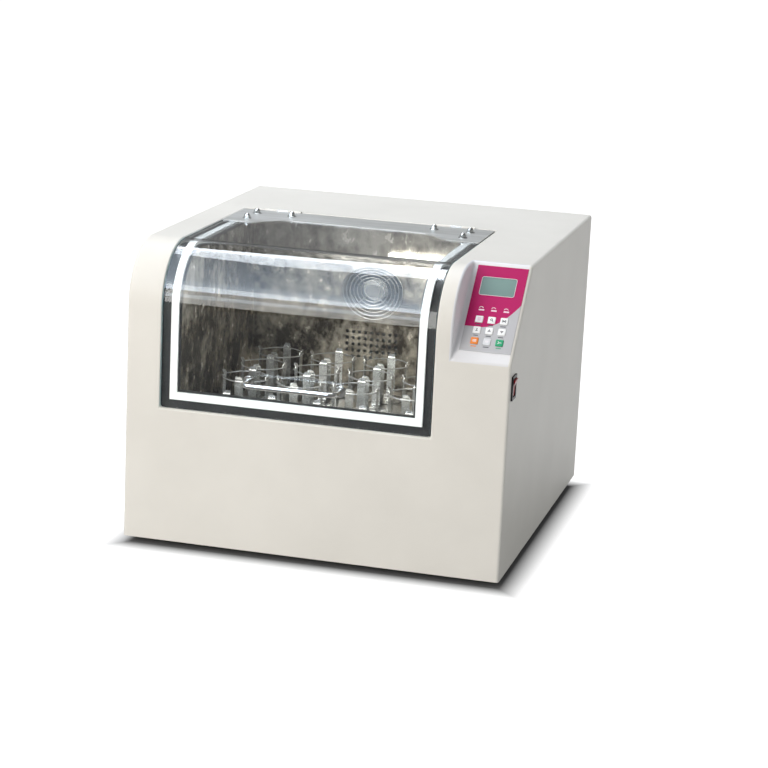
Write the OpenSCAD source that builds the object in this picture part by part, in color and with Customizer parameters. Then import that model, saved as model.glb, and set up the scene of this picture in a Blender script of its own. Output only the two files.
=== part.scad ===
// Incubated benchtop shaker, in millimetres.
// +Z is up, +X is the user's right and the front faces -Y.
// The origin is on the bench, under the middle of the whole, from its handle to its inlet.

/* [Cabinet] */
// Width of the cabinet
body_w = 570; // [550:5:650]
// Depth of the cabinet
body_d = 600; // [590:5:700]
// Height of the cabinet above its feet
body_h = 440; // [430:5:520]
// Radius of the bend between the front and the top
front_r = 90; // [60:1:110]
// Thickness of the painted sheet
sheet_t = 1.5; // [1:0.1:2.5]
// Thickness of the bottom pan
pan_t = 2; // [1.5:0.1:4]

/* [Feet] */
// Height of a foot
foot_h = 10; // [6:1:25]
// Radius of a foot
foot_r = 16; // [12:1:24]
// Distance from a foot's centre to the cabinet's sides
foot_inset = 45; // [30:1:80]
// Radius of the screw that holds a foot
foot_screw_r = 2.5; // [2:0.5:4]

/* [Rear panel] */
// Width of a vent slot
vent_w = 70; // [50:5:90]
// Height of a vent slot
vent_l = 3.4; // [2:0.2:6]
// Distance from one vent slot to the next
vent_pitch = 10; // [8:1:14]
// Number of slots in a vent
vent_count = 10; // [6:1:12]
// Height of the lowest slot above the cabinet's bottom
vent_up = 250; // [230:5:280]
// Distance from the cabinet's sides to the outer vents
vent_in = 60; // [50:5:80]
// Distance from the panel's edges to its screws
rear_screw_in = 14; // [10:1:20]
// Radius of a cabinet screw
screw_r = 2; // [1.5:0.25:3]

/* [Window opening] */
// Distance from the cabinet's left side to the opening
win_left = 52; // [48:1:70]
// Distance from the opening to the step beside the control panel
win_right = 24; // [20:1:40]
// Height of the opening's sill above the cabinet's bottom
win_sill = 201; // [190:1:220]
// Distance from the cabinet's front to the opening's rear edge
win_back = 378; // [360:1:384]
// Width of the dark frame that shows inside the opening
flange_w = 28; // [26:1:34]
// Thickness of the dark frame
flange_t = 3; // [2:0.5:5]
// Width of the dark frame that hides behind the painted skin
flange_hidden = 6; // [3:1:8]

/* [Lid] */
// Thickness of the clear lid
lid_t = 5; // [4:0.5:6]
// Gap between the lid and the opening all round
lid_gap = 1.5; // [1:0.5:3]
// Depth of the lid's face below the painted skin
lid_sink = 1; // [0.5:0.5:2]
// Distance from the lid's edge to its seal
seal_inset = 12.5; // [10:0.5:14]
// Width of the seal
seal_w = 11; // [8:0.5:12]
// Thickness of the seal
seal_t = 4; // [3:0.5:6]
// Gap between the closed seal and the dark frame
seal_gap = 0.3; // [0.2:0.1:0.5]

/* [Lid hinge] */
// Length of one hinge
hinge_len = 60; // [45:1:80]
// Distance from the lid's side edge to the middle of a hinge
hinge_in = 62; // [50:1:90]
// Radius of a hinge knuckle
knuckle_r = 3.5; // [3:0.5:5]
// Radius of a hinge pin
hinge_pin_r = 1.5; // [1:0.25:2]
// Thickness of the steel strip along the lid's rear edge
strip_t = 1.2; // [1:0.1:2]
// Width of the steel strip in its narrow middle
strip_mid = 72; // [62:1:84]
// Width of the steel strip at its ends
strip_end = 112; // [105:1:120]
// Length of the strip's wide ends
lobe_len = 42; // [40:1:60]
// Length of the curve from a wide end to the narrow middle
lobe_blend = 58; // [40:1:70]
// Distance from the lid's side edge to the outer nuts
nut_side = 31; // [30:1:40]
// Distance from the lid's side edge to the inner nuts
nut_inner = 88; // [80:1:120]
// Distance from the lid's rear edge to the rear nuts
nut_rear = 34; // [33:1:45]
// Distance from the lid's rear edge to the front nuts
nut_front = 84; // [75:1:90]
// Radius of the studs through the lid
stud_r = 2.5; // [2:0.5:3]

/* [Handle] */
// Length of the handle between the middles of its legs
handle_len = 138; // [100:1:180]
// Radius of the handle's rod
handle_r = 3.5; // [3:0.5:5]
// Distance from the lid's face to the middle of the handle's bar
handle_out = 30; // [25:1:45]
// Radius of the handle's bends
handle_bend = 12; // [8:1:16]
// Height of the handle above the opening's sill
handle_up = 54; // [45:1:80]
// Radius of the washer under each leg
washer_r = 8; // [6:0.5:10]

/* [Control panel] */
// Width of the sloped panel
panel_w = 86; // [84:1:88]
// Height of the slope, from its front edge to the cabinet's top
panel_rise = 122; // [112:1:130]
// Depth of the slope, from front to back
panel_run = 117; // [110:1:130]
// Distance from the step's wall to the printed overlay
label_in = 7.5; // [5:0.5:8]
// Distance from the overlay to the cabinet's right side
label_right = 4.5; // [3:0.5:6]
// Distance up the slope from its front edge to the overlay
label_up = 18; // [12:1:20]
// Distance from the overlay to the slope's upper edge
label_top = 7; // [5:1:12]
// Thickness of the overlay
label_t = 0.8; // [0.5:0.1:1.2]
// Width of the display
lcd_w = 51; // [40:1:54]
// Height of the display
lcd_l = 31; // [24:1:34]
// Distance from the overlay's left edge to the display
lcd_in = 10; // [8:1:14]
// Distance from the display to the overlay's upper edge
lcd_top = 19; // [12:1:22]
// Side of a key
key_s = 11; // [9:0.5:12]
// Distance from one key to the next
key_pitch = 18; // [16:0.5:18]
// Distance from the overlay's left edge to the first column's middle
key_in = 19; // [16:0.5:20]
// Distance up the overlay to the lowest row's middle
key_up = 17; // [14:0.5:20]
// Height of a key above the overlay
key_proud = 0.9; // [0.6:0.1:2]
// How far a key travels
key_travel = 0.5; // [0.3:0.1:0.6]
// Gap between a key and its hole
key_gap = 0.25; // [0.15:0.05:0.5]
// Width of an indicator lamp
lamp_w = 8; // [5:0.5:10]
// Height of an indicator lamp
lamp_l = 2.4; // [2:0.2:4]
// Distance up the overlay to the indicator lamps
lamp_up = 69; // [66:1:76]

/* [Switch and inlet] */
// Width of the switch's opening
switch_w = 17.6; // [15:0.2:20]
// Height of the switch's opening
switch_l = 26.8; // [26.8:0.2:30]
// Distance from the cabinet's front to the switch's middle
switch_back = 22; // [20:1:60]
// Distance from the slope's front edge down to the switch's middle
switch_drop = 35; // [24:1:120]
// Tilt of the rocker each way
rocker_tilt = 10; // [6:1:10]
// Distance from the cabinet's right side to the mains inlet
inlet_in = 80; // [60:5:180]
// Height of the mains inlet above the cabinet's bottom
inlet_up = 55; // [40:5:150]

/* [Electronics] */
// Width of the power supply
psu_w = 90; // [70:5:100]
// Depth of the power supply
psu_d = 150; // [110:5:170]
// Height of the power supply
psu_h = 55; // [40:5:70]
// Distance from the cabinet's side to the power supply
psu_side = 20; // [10:1:30]
// Distance from the cabinet's rear to the power supply
psu_back = 56; // [52:1:66]
// Thickness of the control board
board_t = 1.6; // [1:0.2:2.4]
// Distance from the fascia's face to the control board
board_gap = 9; // [7:0.5:12]

/* [Chamber] */
// How far the chamber's walls stand inside the opening's sides
ch_side = 12; // [10:1:14]
// How far the chamber's rear wall stands behind the opening
ch_behind = 22; // [20:1:30]
// Height of the chamber's floor above the cabinet's bottom
ch_floor = 120; // [118:1:122]
// Thickness of the polished liner
liner_t = 1.2; // [0.8:0.1:2]
// Thickness of the insulation under the floor and behind the wall
insul_t = 20; // [10:1:22]
// Distance from the chamber's left wall to the temperature probe
probe_in = 24; // [16:1:60]
// Distance from the cabinet's top down to the temperature probe
probe_down = 77; // [60:1:100]
// Length of the temperature probe inside the chamber
probe_len = 42; // [30:1:60]
// Distance from the chamber's right wall to the lamp
tube_in = 58; // [30:1:70]
// Distance from the fan's axis to the lamp's left end
tube_off = 29; // [22:1:50]
// Height of the lamp's axis above the fan guard
tube_rise = 3; // [2:1:12]
// Radius of the lamp's tube
tube_r = 6; // [4:0.5:7]

/* [Air system] */
// Distance from the chamber's middle to the fan's axis
fan_off = 7; // [0:1:20]
// Distance from the cabinet's top down to the fan's axis
fan_down = 115; // [110:1:125]
// Radius of the fan guard
guard_r = 50; // [44:1:54]
// Radius of the guard's wires
guard_wire_r = 1.1; // [0.8:0.1:1.5]
// Number of rings in the guard
guard_rings = 6; // [4:1:7]
// Radius of the fan's blades
fan_r = 42; // [36:1:42]
// Radius of the fan's hub
hub_r = 19; // [16:1:20]
// Number of fan blades
fan_blades = 7; // [5:1:9]
// Radius of the fan's shaft
fan_shaft_r = 3; // [2:0.5:4]
// Width of the perforated air outlet
screen_w = 102; // [80:1:110]
// Height of the perforated air outlet
screen_l = 58; // [50:1:64]
// Gap between the fan guard and the air outlet
screen_gap = 13; // [10:1:18]
// Distance between the outlet's holes
screen_pitch = 10; // [9:0.5:12]
// Radius of the outlet's holes
screen_hole_r = 2.9; // [2:0.1:3.5]
// Depth of the air duct behind the rear wall
duct_d = 70; // [66:1:90]
// How far the duct passes the guard on each side
duct_side = 35; // [30:1:45]
// How far the duct passes the air outlet below
duct_low = 12; // [8:1:16]
// How far the duct passes the guard above
duct_high = 10; // [8:1:14]
// Radius of the heater's ring
heater_r = 52; // [46:1:56]

/* [Platform] */
// Height of the platform's top above the cabinet's bottom
platform_up = 167; // [165:1:175]
// Radius of the platform's orbit
orbit_r = 10; // [8:0.5:12]
// Gap between the moving platform and the chamber's walls
platform_clear = 6; // [3:1:10]
// Thickness of the platform's sheet
tray_t = 2; // [1.5:0.5:3]
// Height of the platform's folded rim
tray_rim = 14; // [8:1:16]
// Height of the bars under the platform
bar_h = 13; // [10:1:15]
// Width of the bars under the platform
bar_w = 30; // [24:1:40]

/* [Flask clamps] */
// Radius of a small clamp at its ring
small_r = 25; // [22:1:27]
// Gap between two small clamps
small_gap = 20; // [16:1:30]
// Least distance from the platform's sides to the outer small clamps
small_edge = 30; // [29:1:42]
// Height of a small clamp's ring above the platform
small_h = 44; // [30:1:55]
// Radius of a large clamp at its ring
large_r = 34; // [28:1:36]
// Gap between two large clamps in a row
large_gap = 18; // [14:1:30]
// Least distance from the platform's sides to the outer large clamps
large_edge = 40; // [38:1:56]
// Height of a large clamp's ring above the platform
large_h = 62; // [45:1:70]
// Distance from the platform's front edge to the small clamps
small_row = 34; // [31:1:38]
// Distance from the small clamps to the first large ones
first_row = 80; // [78:1:84]
// Gap between the rows of large clamps
row_gap = 20; // [14:1:24]
// Least distance from the last clamps to the platform's rear edge
last_row = 45; // [40:1:70]
// Width of a clamp's finger
finger_w = 13; // [9:0.5:16]
// Thickness of a clamp's finger
finger_t = 1.2; // [0.8:0.1:2]
// Radius of the spring wire round the fingers
wire_r = 1; // [0.7:0.1:1.4]
// Radius of the screw that holds a clamp
clamp_screw_r = 3; // [2.5:0.5:4]

/* [Drive] */
// Radius of the drive shaft
shaft_r = 10; // [8:1:12]
// Radius of the crank pins
pin_r = 7; // [6:0.5:8]
// Radius of an idler's shaft
idler_shaft_r = 9; // [7:1:10]
// Distance from the drive shaft to the idlers, sideways
idler_dx = 115; // [105:1:125]
// Distance from the drive shaft to the front idler
idler_front = 115; // [105:1:125]
// Distance from the drive shaft to the rear idlers
idler_rear = 100; // [95:1:110]
// Thickness of the drive's base plate
frame_t = 6; // [4:1:8]
// Height of an idler's bearing housing
housing_h = 62; // [60:1:64]
// Height of the drive pulley
pulley_h = 16; // [12:1:18]
// Radius of the drive pulley under its belt
pulley_r = 55; // [45:1:58]
// Radius of the motor pulley under its belt
motor_pulley_r = 20; // [15:1:24]
// Thickness of the belt
belt_t = 2.5; // [2:0.5:4]
// Thickness of the crank arms
arm_t = 12; // [10:1:13]
// Radius of the counterweight
weight_r = 62; // [50:1:66]
// Distance from the chamber's rear wall to the motor's axis
motor_back = 78; // [75:1:90]
// Radius of the motor
motor_r = 42; // [35:1:45]
// Height of the motor
motor_h = 40; // [36:1:42]
// Radius of the motor's shaft
motor_shaft_r = 6; // [5:0.5:8]

/* [Fits] */
// Running clearance between a shaft and its bore
run_gap = 0.05; // [0.02:0.01:0.1]
// Clearance between parts that don't touch
clear_gap = 0.3; // [0.2:0.1:0.5]
// Clearance between parts that are fixed together
fix_gap = 0.02; // [0.01:0.01:0.05]

/* [Hidden] */
$fn = 64;
// Length by which a cutting solid passes the face it cuts
cut = 1;

// Length by which joined solids overlap
lap = 0.1;

// How far the handle stands in front of the cabinet, and the inlet behind it
inlet_lip_t = 2.5;
reach_f = handle_out + handle_r - lid_sink;
reach_b = inlet_lip_t;

// How far the shell stands to the left, since the power switch adds to its right side
side_shift = 5;

// Planes of the cabinet
x_l = -body_w / 2 - side_shift;
x_r = body_w / 2 - side_shift;
y_f = (reach_f - reach_b - body_d) / 2;
y_b = y_f + body_d;
z_b = foot_h;
z_t = foot_h + body_h;
z_pan = z_b + pan_t;
step_x = x_r - panel_w;

// Small parts of the cabinet
screw_head_r = screw_r + 1.8;
screw_head_t = 1.6;
screw_len = 5;
foot_taper = 3;
foot_nut_r = foot_screw_r + 3;
foot_nut_t = 3;

// Edges of the window opening
win_x0 = x_l + win_left;
win_x1 = step_x - win_right;
win_z = z_b + win_sill;
win_y = y_f + win_back;

// Depths of the layers below the painted skin at the window
seal_e = lid_sink + lid_t;
flange_e = seal_e + seal_t + seal_gap;
liner_e = flange_e + flange_t;

// The lid's own edges
lid_x0 = win_x0 + lid_gap;
lid_x1 = win_x1 - lid_gap;
lid_xc = (lid_x0 + lid_x1) / 2;
lid_z = win_z + lid_gap;
hinge_y = win_y - knuckle_r;
hinge_z = z_t - lid_sink;
lid_y = hinge_y - knuckle_r - clear_gap * 2;
leaf_t = 1.2;
leaf_drop = 0.5;
knuckle_part = 0.3;
handle_z = win_z + handle_up;
handle_y = y_f + lid_sink;
nut_r = 5.2;
nut_h = 4;
nut_washer_r = 7;
nut_washer_t = 1;
dome_r = 4.3;
dome_sink = 1;
washer_t = 1.5;
head_r = 5.5;
head_t = 2.5;
// Middles of the two hinges, across the lid
HINGES = [lid_x0 + hinge_in, lid_x1 - hinge_in];
// Points along the front edge of the strip, from the lid's side
strip_steps = 12;
STRIP_EDGE = concat([0], [for (i = [0:strip_steps]) lobe_len + lobe_blend * i / strip_steps]);

// The sloped control panel
panel_z = z_t - panel_rise;
slope_a = atan2(panel_rise, panel_run);
slope_l = sqrt(panel_rise * panel_rise + panel_run * panel_run);
label_x = step_x + label_in;
label_w = panel_w - label_in - label_right;
label_l = slope_l - label_up - label_top;
lcd_up = label_l - lcd_top - lcd_l;
board_in = 4;
board_low = 8;
board_high = 12;
standoff_r = 2.5;
standoff_in = 5;
plunger_s = 6;
key_lip = 1;
key_lip_t = 2;
lcd_lip = 2;
lcd_r = 3;

// The switch and the inlet
switch_y = y_f + switch_back;
switch_z = panel_z - switch_drop;
bezel_wall = 2;
bezel_w = switch_w + 2 * bezel_wall;
bezel_l = switch_l + 2 * bezel_wall;
bezel_lip = 2;
bezel_lip_t = 2.5;
bezel_depth = 20;
trunnion_r = 1.5;
trunnion_in = 0.8;
rocker_end = switch_l / 2 - 0.8;
rocker_back = 7;
rocker_foot = 5;
rocker_proud = 3.2;
rocker_dip = 1.4;
inlet_x = x_r - inlet_in;
inlet_z = z_b + inlet_up;
inlet_w = 47;
inlet_h = 27;
inlet_lip = 3;
inlet_depth = 24;
socket_w = 24;
socket_h = 17;
socket_depth = 16;
blade_gap = 7;
blade_drop = 2;
blade_wide = 2;
blade_high = 5;
// Middles of the inlet's blades, across and up from its own middle
BLADES = [[-blade_gap, -blade_drop], [0, blade_drop], [blade_gap, -blade_drop]];
terminal_t = 12;
terminal_up = 7;
terminal_in = 6;
terminal_back = 4;

// The chamber
ch_x0 = win_x0 + ch_side;
ch_x1 = win_x1 - ch_side;
ch_w = ch_x1 - ch_x0;
ch_xc = (ch_x0 + ch_x1) / 2;
ch_y0 = y_f + liner_e + liner_t;
ch_y1 = win_y + ch_behind;
ch_yc = (ch_y0 + ch_y1) / 2;
ch_z = z_b + ch_floor;
mouth_lap = 20;
mouth_z = win_z + mouth_lap;
mouth_y = win_y - mouth_lap;
pin_clear = 7;
crank_hole_r = orbit_r + pin_r + pin_clear;
insul_gap = 2;
insul_sill = 10;
insul_top = 20;

// The air system
fan_x = ch_xc + fan_off;
fan_z = z_t - fan_down;
screen_z = fan_z - guard_r - screen_gap - screen_l / 2;
screen_t = 1.5;
screen_edge = 4;
screen_lap = 7;
duct_y0 = ch_y1 + liner_t;
duct_y1 = duct_y0 + duct_d;
duct_half = guard_r + duct_side;
duct_z0 = screen_z - screen_l / 2 - duct_low;
duct_z1 = fan_z + guard_r + duct_high;
guard_off = 6;
guard_plate_r = 12;
guard_plate_t = 1.2;
guard_post_r = 1.8;
fan_motor_r = 28;
fan_motor_l = 38;
fan_y0 = duct_y0 + 4;
fan_len = 18;
fan_face = 2;
fan_blade_a = 32;
fan_blade_w = 22;
fan_blade_t = 1.6;
heater_wire_r = 3.5;
heater_y = duct_y0 + duct_d / 2;
heater_tail = 12;
// Radius of a straight wire, as a share of the ring that it joins
thin = 0.9;

// The temperature probe and the lamp
probe_x = ch_x0 + probe_in;
probe_z = z_t - probe_down;
probe_r = 3;
probe_tail = 20;
cap_r = 8;
cap_len = 10;
cap_cone = 6;
tube_x1 = ch_x1 - tube_in;
tube_x0 = fan_x + tube_off;
tube_len = tube_x1 - tube_x0;
tube_z = fan_z + guard_r + tube_rise;
tube_y = ch_y1 - 2 * tube_r;
clip_w = 6;
clip_h = 8;
clip_in = 10;

// The drive
z_frame = z_pan + frame_t;
housing_z = z_frame + housing_h;
arm_gap = 2;
arm_z0 = housing_z + arm_gap;
arm_z1 = arm_z0 + arm_t;
pulley_z0 = housing_z - pulley_h;
pulley_z1 = housing_z;
pulley_lip = 4;
pulley_lip_t = 1.5;
drive_x = ch_xc;
drive_y = ch_yc;
motor_y = ch_y1 + motor_back;
shaft_z0 = z_frame + 2;
arm_rim = 6;
arm_r = orbit_r + pin_r + arm_rim;
housing_wall = 14;
plate_edge = 36;
motor_boss_r = 14;
motor_floor = 4;
bracket_t = 4;
bracket_side = 12;
bracket_half = motor_r + bracket_side;
bracket_drop = 8;
bracket_z = pulley_z0 - bracket_drop;
motor_z0 = bracket_z - motor_h;
leg_r = 6;

// The platform, with its cranks turned towards +X at rest
z_tray = z_b + platform_up;
tray_w = ch_w - 2 * (orbit_r + platform_clear);
tray_d = ch_y1 - ch_y0 - 2 * (orbit_r + platform_clear);
tray_xc = ch_xc + orbit_r;
tray_x0 = tray_xc - tray_w / 2;
tray_y0 = ch_yc - tray_d / 2;
bar_z1 = z_tray - tray_t;
bar_z0 = bar_z1 - bar_h;
bearing_lift = 6;
bearing_z0 = ch_z + bearing_lift;
bearing_wall = 12;
bearing_r = pin_r + bearing_wall;
pin_z1 = bar_z0 - clear_gap;
IDLERS = [[0, -idler_front], [-idler_dx, idler_rear], [idler_dx, idler_rear]];
CRANKS = concat([[0, 0]], IDLERS);

// The flask clamps: as many as the platform takes
small_pitch = 2 * small_r + small_gap;
small_count = 1 + floor((tray_w - 2 * small_edge) / small_pitch);
large_pitch = 2 * large_r + large_gap;
large_count = 1 + floor((tray_w - 2 * large_edge) / large_pitch);
row_pitch = 2 * large_r + row_gap;
large_rows = 1 + floor((tray_d - small_row - first_row - last_row) / row_pitch);

// Middle of each clamp, its ring's radius and its height
SMALL = [for (i = [0:small_count - 1])
  [tray_xc + (i - (small_count - 1) / 2) * small_pitch, tray_y0 + small_row, small_r, small_h]];
LARGE = [for (j = [0:large_rows - 1]) for (i = [0:large_count - 1])
  [tray_xc + (i - (large_count - 1) / 2) * large_pitch,
   tray_y0 + small_row + first_row + j * row_pitch, large_r, large_h]];
CLAMPS = concat(SMALL, LARGE);
clamp_base_t = 2;
clamp_base_in = 4;
clamp_head_r = clamp_screw_r + 2;
clamp_head_t = 1.5;
screw_len_c = 7;
screw_hole_c = 8;
finger_foot = 9;
finger_lean = 1;
finger_waist = 0.6;
hook_out = 3;
hook_h = 4;

// Solid of the cabinet, its faces e inside the skin; through lengthens it down and back
module core(e, x0, x1, through = 0) {
  w = x1 - x0;
  union() {
    translate([x0, y_f + e, z_b + e - through])
      cube([w, body_d - 2 * e + through, body_h - front_r - e + through]);
    translate([x0, y_f + front_r, z_b + e - through])
      cube([w, body_d - front_r - e + through, body_h - 2 * e + through]);
    translate([x0, y_f + front_r, z_t - front_r])
      rotate([0, 90, 0])
        cylinder(r = front_r - e, h = w);
  }
}

// Bent sheet between two depths below the skin
module bent_sheet(e0, e1, x0, x1) {
  difference() {
    core(e0, x0, x1);
    core(e1, x0 - cut, x1 + cut, e1 + cut);
  }
}

// Box in front of and above an edge, that cuts a bent sheet to a window's outline
module window_zone(x0, x1, y1, z0) {
  translate([x0, y_f - body_d / 2, z0])
    cube([x1 - x0, y1 - y_f + body_d / 2, z_t]);
}

// Box over the opening, g larger on each side
module opening_zone(g) {
  window_zone(win_x0 - g, win_x1 + g, win_y + g, win_z - g);
}

// Box over the lid, g smaller on each side
module lid_zone(g) {
  window_zone(lid_x0 + g, lid_x1 - g, lid_y - g, lid_z + g);
}

// Places its children on the slope: +Y runs up the slope and +Z points out of it
module on_slope() {
  translate([0, y_f, panel_z])
    rotate([slope_a, 0, 0])
      children();
}

// Rounded rectangle with its low corner at the origin
module round_plate(w, l, t, r) {
  union() {
    translate([r, 0, 0])
      cube([w - 2 * r, l, t]);
    translate([0, r, 0])
      cube([w, l - 2 * r, t]);
    for (x = [r, w - r])
      for (y = [r, l - r])
        translate([x, y, 0])
          cylinder(r = r, h = t);
  }
}

// Places its children at each foot
module at_feet() {
  for (x = [x_l + foot_inset, x_r - foot_inset])
    for (y = [y_f + foot_inset, y_b - foot_inset])
      translate([x, y, 0])
        children();
}

module left_side_panel() {
  color("#DEDCD6")
    core(0, x_l, x_l + sheet_t);
}

module right_side_panel() {
  color("#B4B4AE")
    difference() {
      translate([x_r - sheet_t, y_f, z_b])
        cube([sheet_t, body_d, body_h]);
      on_slope()
        translate([x_r - sheet_t - cut, -body_d, 0])
          cube([sheet_t + 2 * cut, 3 * body_d, body_h]);
      translate([x_r - sheet_t - cut, switch_y - bezel_w / 2 - fix_gap, switch_z - bezel_l / 2 - fix_gap])
        cube([sheet_t + 2 * cut, bezel_w + 2 * fix_gap, bezel_l + 2 * fix_gap]);
    }
}

module front_top_cover() {
  color("#E0DDD6")
    difference() {
      union() {
        bent_sheet(0, sheet_t, x_l + sheet_t, x_r - sheet_t);
        intersection() {
          bent_sheet(0, flange_e, win_x0 - sheet_t, win_x1 + sheet_t);
          opening_zone(sheet_t);
        }
      }
      opening_zone(0);
      translate([step_x, y_f - cut, panel_z])
        cube([panel_w, panel_run + cut, body_h]);
    }
}

module key_hole_grid(s, z0, t) {
  for (k = [0:8])
    at_key(k)
      translate([-s / 2, -s / 2, z0])
        cube([s, s, t]);
}

// Places its children at key k, counted along the rows from the upper left
module at_key(k) {
  translate([label_x + key_in + (k % 3) * key_pitch, label_up + key_up + (2 - floor(k / 3)) * key_pitch, 0])
    children();
}

module lamp_grid(g, z0, t) {
  for (i = [0:2])
    translate([label_x + key_in + i * key_pitch - lamp_w / 2 - g, label_up + lamp_up - lamp_l / 2 - g, z0])
      cube([lamp_w + 2 * g, lamp_l + 2 * g, t]);
}

module lcd_plate(g, z0, t) {
  translate([label_x + lcd_in - g, label_up + lcd_up - g, z0])
    round_plate(lcd_w + 2 * g, lcd_l + 2 * g, t, lcd_r);
}

module control_fascia() {
  color("#E6E5E4")
    intersection() {
      difference() {
        union() {
          on_slope()
            translate([step_x, 0, -sheet_t])
              cube([panel_w - sheet_t, slope_l, sheet_t]);
          intersection() {
            core(sheet_t, step_x - sheet_t, step_x);
            on_slope()
              translate([step_x - 2 * sheet_t, -slope_l, -sheet_t])
                cube([3 * sheet_t, 3 * slope_l, slope_l]);
          }
        }
        on_slope() {
          key_hole_grid(key_s + 2 * key_gap, -sheet_t - cut, sheet_t + 2 * cut);
          lamp_grid(fix_gap, -sheet_t - cut, sheet_t + 2 * cut);
          lcd_plate(fix_gap, -sheet_t - cut, sheet_t + 2 * cut);
        }
      }
      translate([step_x - sheet_t, y_f, panel_z])
        cube([panel_w, panel_run, z_t - panel_z]);
    }
}

module panel_overlay() {
  color("#C42C73")
    on_slope()
      difference() {
        translate([label_x, label_up, 0])
          cube([label_w, label_l, label_t]);
        key_hole_grid(key_s + 2 * key_gap, -cut, label_t + 2 * cut);
        lamp_grid(fix_gap, -cut, label_t + 2 * cut);
        lcd_plate(fix_gap, -cut, label_t + 2 * cut);
      }
}

module display_window() {
  color("#84A098")
    on_slope()
      union() {
        lcd_plate(0, -sheet_t - cut, sheet_t + cut + label_t / 2);
        lcd_plate(lcd_lip, -sheet_t - 2 * cut, 2 * cut);
      }
}

module indicator_lamps() {
  color("#F2D6E2")
    on_slope()
      lamp_grid(0, -board_gap, board_gap + label_t);
}

module control_board() {
  color("#2E6B4A")
    on_slope()
      union() {
        translate([step_x + board_in, board_low, -board_gap - board_t])
          cube([panel_w - 2 * board_in, slope_l - board_low - board_high, board_t]);
        for (x = [step_x + board_in + standoff_in, x_r - board_in - standoff_in])
          for (y = [board_low + standoff_in, slope_l - board_high - standoff_in])
            translate([x, y, -board_gap - lap])
              cylinder(r = standoff_r, h = board_gap + lap - sheet_t);
        for (k = [0:8])
          at_key(k)
            translate([-plunger_s / 2, -plunger_s / 2, -board_gap - lap])
              cube([plunger_s, plunger_s, board_gap + lap - sheet_t - key_lip_t - key_travel - lap]);
      }
}

// One push key with the lip that holds it behind the fascia
module key(k, shade) {
  lip = key_s + 2 * key_gap + 2 * key_lip;
  color(shade)
    on_slope()
      at_key(k)
        union() {
          translate([-key_s / 2, -key_s / 2, -sheet_t - cut])
            cube([key_s, key_s, sheet_t + cut + label_t + key_proud]);
          translate([-lip / 2, -lip / 2, -sheet_t - key_lip_t])
            cube([lip, lip, key_lip_t]);
        }
}

module rear_panel() {
  color("#D9D8D4")
    difference() {
      translate([x_l + sheet_t, y_b - sheet_t, z_b])
        cube([body_w - 2 * sheet_t, sheet_t, body_h - sheet_t]);
      for (x = [x_l + vent_in, -vent_w / 2, x_r - vent_in - vent_w])
        for (i = [0:vent_count - 1])
          translate([x, y_b - sheet_t - cut, z_b + vent_up + i * vent_pitch])
            cube([vent_w, sheet_t + 2 * cut, vent_l]);
      translate([inlet_x - inlet_w / 2 - fix_gap, y_b - sheet_t - cut, inlet_z - inlet_h / 2 - fix_gap])
        cube([inlet_w + 2 * fix_gap, sheet_t + 2 * cut, inlet_h + 2 * fix_gap]);
      at_rear_screws()
        cylinder(r = screw_r + fix_gap, h = 3 * sheet_t, center = true);
    }
}

// Places its children at the rear panel's screws, +Z pointing out of the panel
module at_rear_screws() {
  for (x = [x_l + rear_screw_in, 0, x_r - rear_screw_in])
    for (z = [z_b + rear_screw_in, z_b + body_h / 2, z_t - rear_screw_in])
      if (x != 0 || z != z_b + body_h / 2)
        translate([x, y_b, z])
          rotate([-90, 0, 0])
            children();
}

module cabinet_screws() {
  color("silver")
    at_rear_screws()
      union() {
        cylinder(r = screw_head_r, h = screw_head_t);
        translate([0, 0, -screw_len])
          cylinder(r = screw_r, h = screw_len + lap);
      }
}

module base_pan() {
  color("#8E9090")
    difference() {
      translate([x_l + sheet_t, y_f + sheet_t, z_b])
        cube([body_w - 2 * sheet_t, body_d - 2 * sheet_t, pan_t]);
      at_feet()
        translate([0, 0, z_b - cut])
          cylinder(r = foot_screw_r + fix_gap, h = pan_t + 2 * cut);
    }
}

module feet() {
  color("#232323")
    at_feet()
      union() {
        cylinder(r1 = foot_r - foot_taper, r2 = foot_r, h = foot_h);
        cylinder(r = foot_screw_r, h = z_pan + foot_nut_t);
        translate([0, 0, z_pan])
          cylinder(r = foot_nut_r, h = foot_nut_t);
      }
}

module window_frame() {
  color("#3B3B39")
    difference() {
      intersection() {
        bent_sheet(flange_e, liner_e, win_x0 - sheet_t - flange_hidden, win_x1 + sheet_t + flange_hidden);
        opening_zone(sheet_t + flange_hidden);
      }
      opening_zone(-flange_w);
    }
}

module chamber_liner() {
  color("#C9C7C2")
    difference() {
      intersection() {
        core(liner_e, ch_x0 - liner_t, ch_x1 + liner_t);
        translate([ch_x0 - liner_t, y_f, ch_z - liner_t])
          cube([ch_w + 2 * liner_t, ch_y1 + liner_t - y_f, z_t - ch_z + liner_t]);
      }
      intersection() {
        core(liner_e + liner_t, ch_x0, ch_x1);
        translate([ch_x0, y_f, ch_z])
          cube([ch_w, ch_y1 - y_f, z_t]);
      }
      window_zone(ch_x0, ch_x1, mouth_y, mouth_z);
      crank_holes(ch_z - liner_t - cut, liner_t + 2 * cut, crank_hole_r);
      at_fan(ch_y1 - cut)
        cylinder(r = guard_r - guard_post_r * 2, h = liner_t + 2 * cut);
      translate([fan_x - screen_w / 2 + screen_lap, ch_y1 - cut, screen_z - screen_l / 2 + screen_lap])
        cube([screen_w - 2 * screen_lap, liner_t + 2 * cut, screen_l - 2 * screen_lap]);
      probe_hole(liner_t);
    }
}

// Hole for the temperature probe, to a depth t behind the chamber's rear wall
module probe_hole(t) {
  translate([probe_x, ch_y1 - cut, probe_z])
    rotate([-90, 0, 0])
      cylinder(r = probe_r + fix_gap, h = t + 2 * cut);
}

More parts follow.
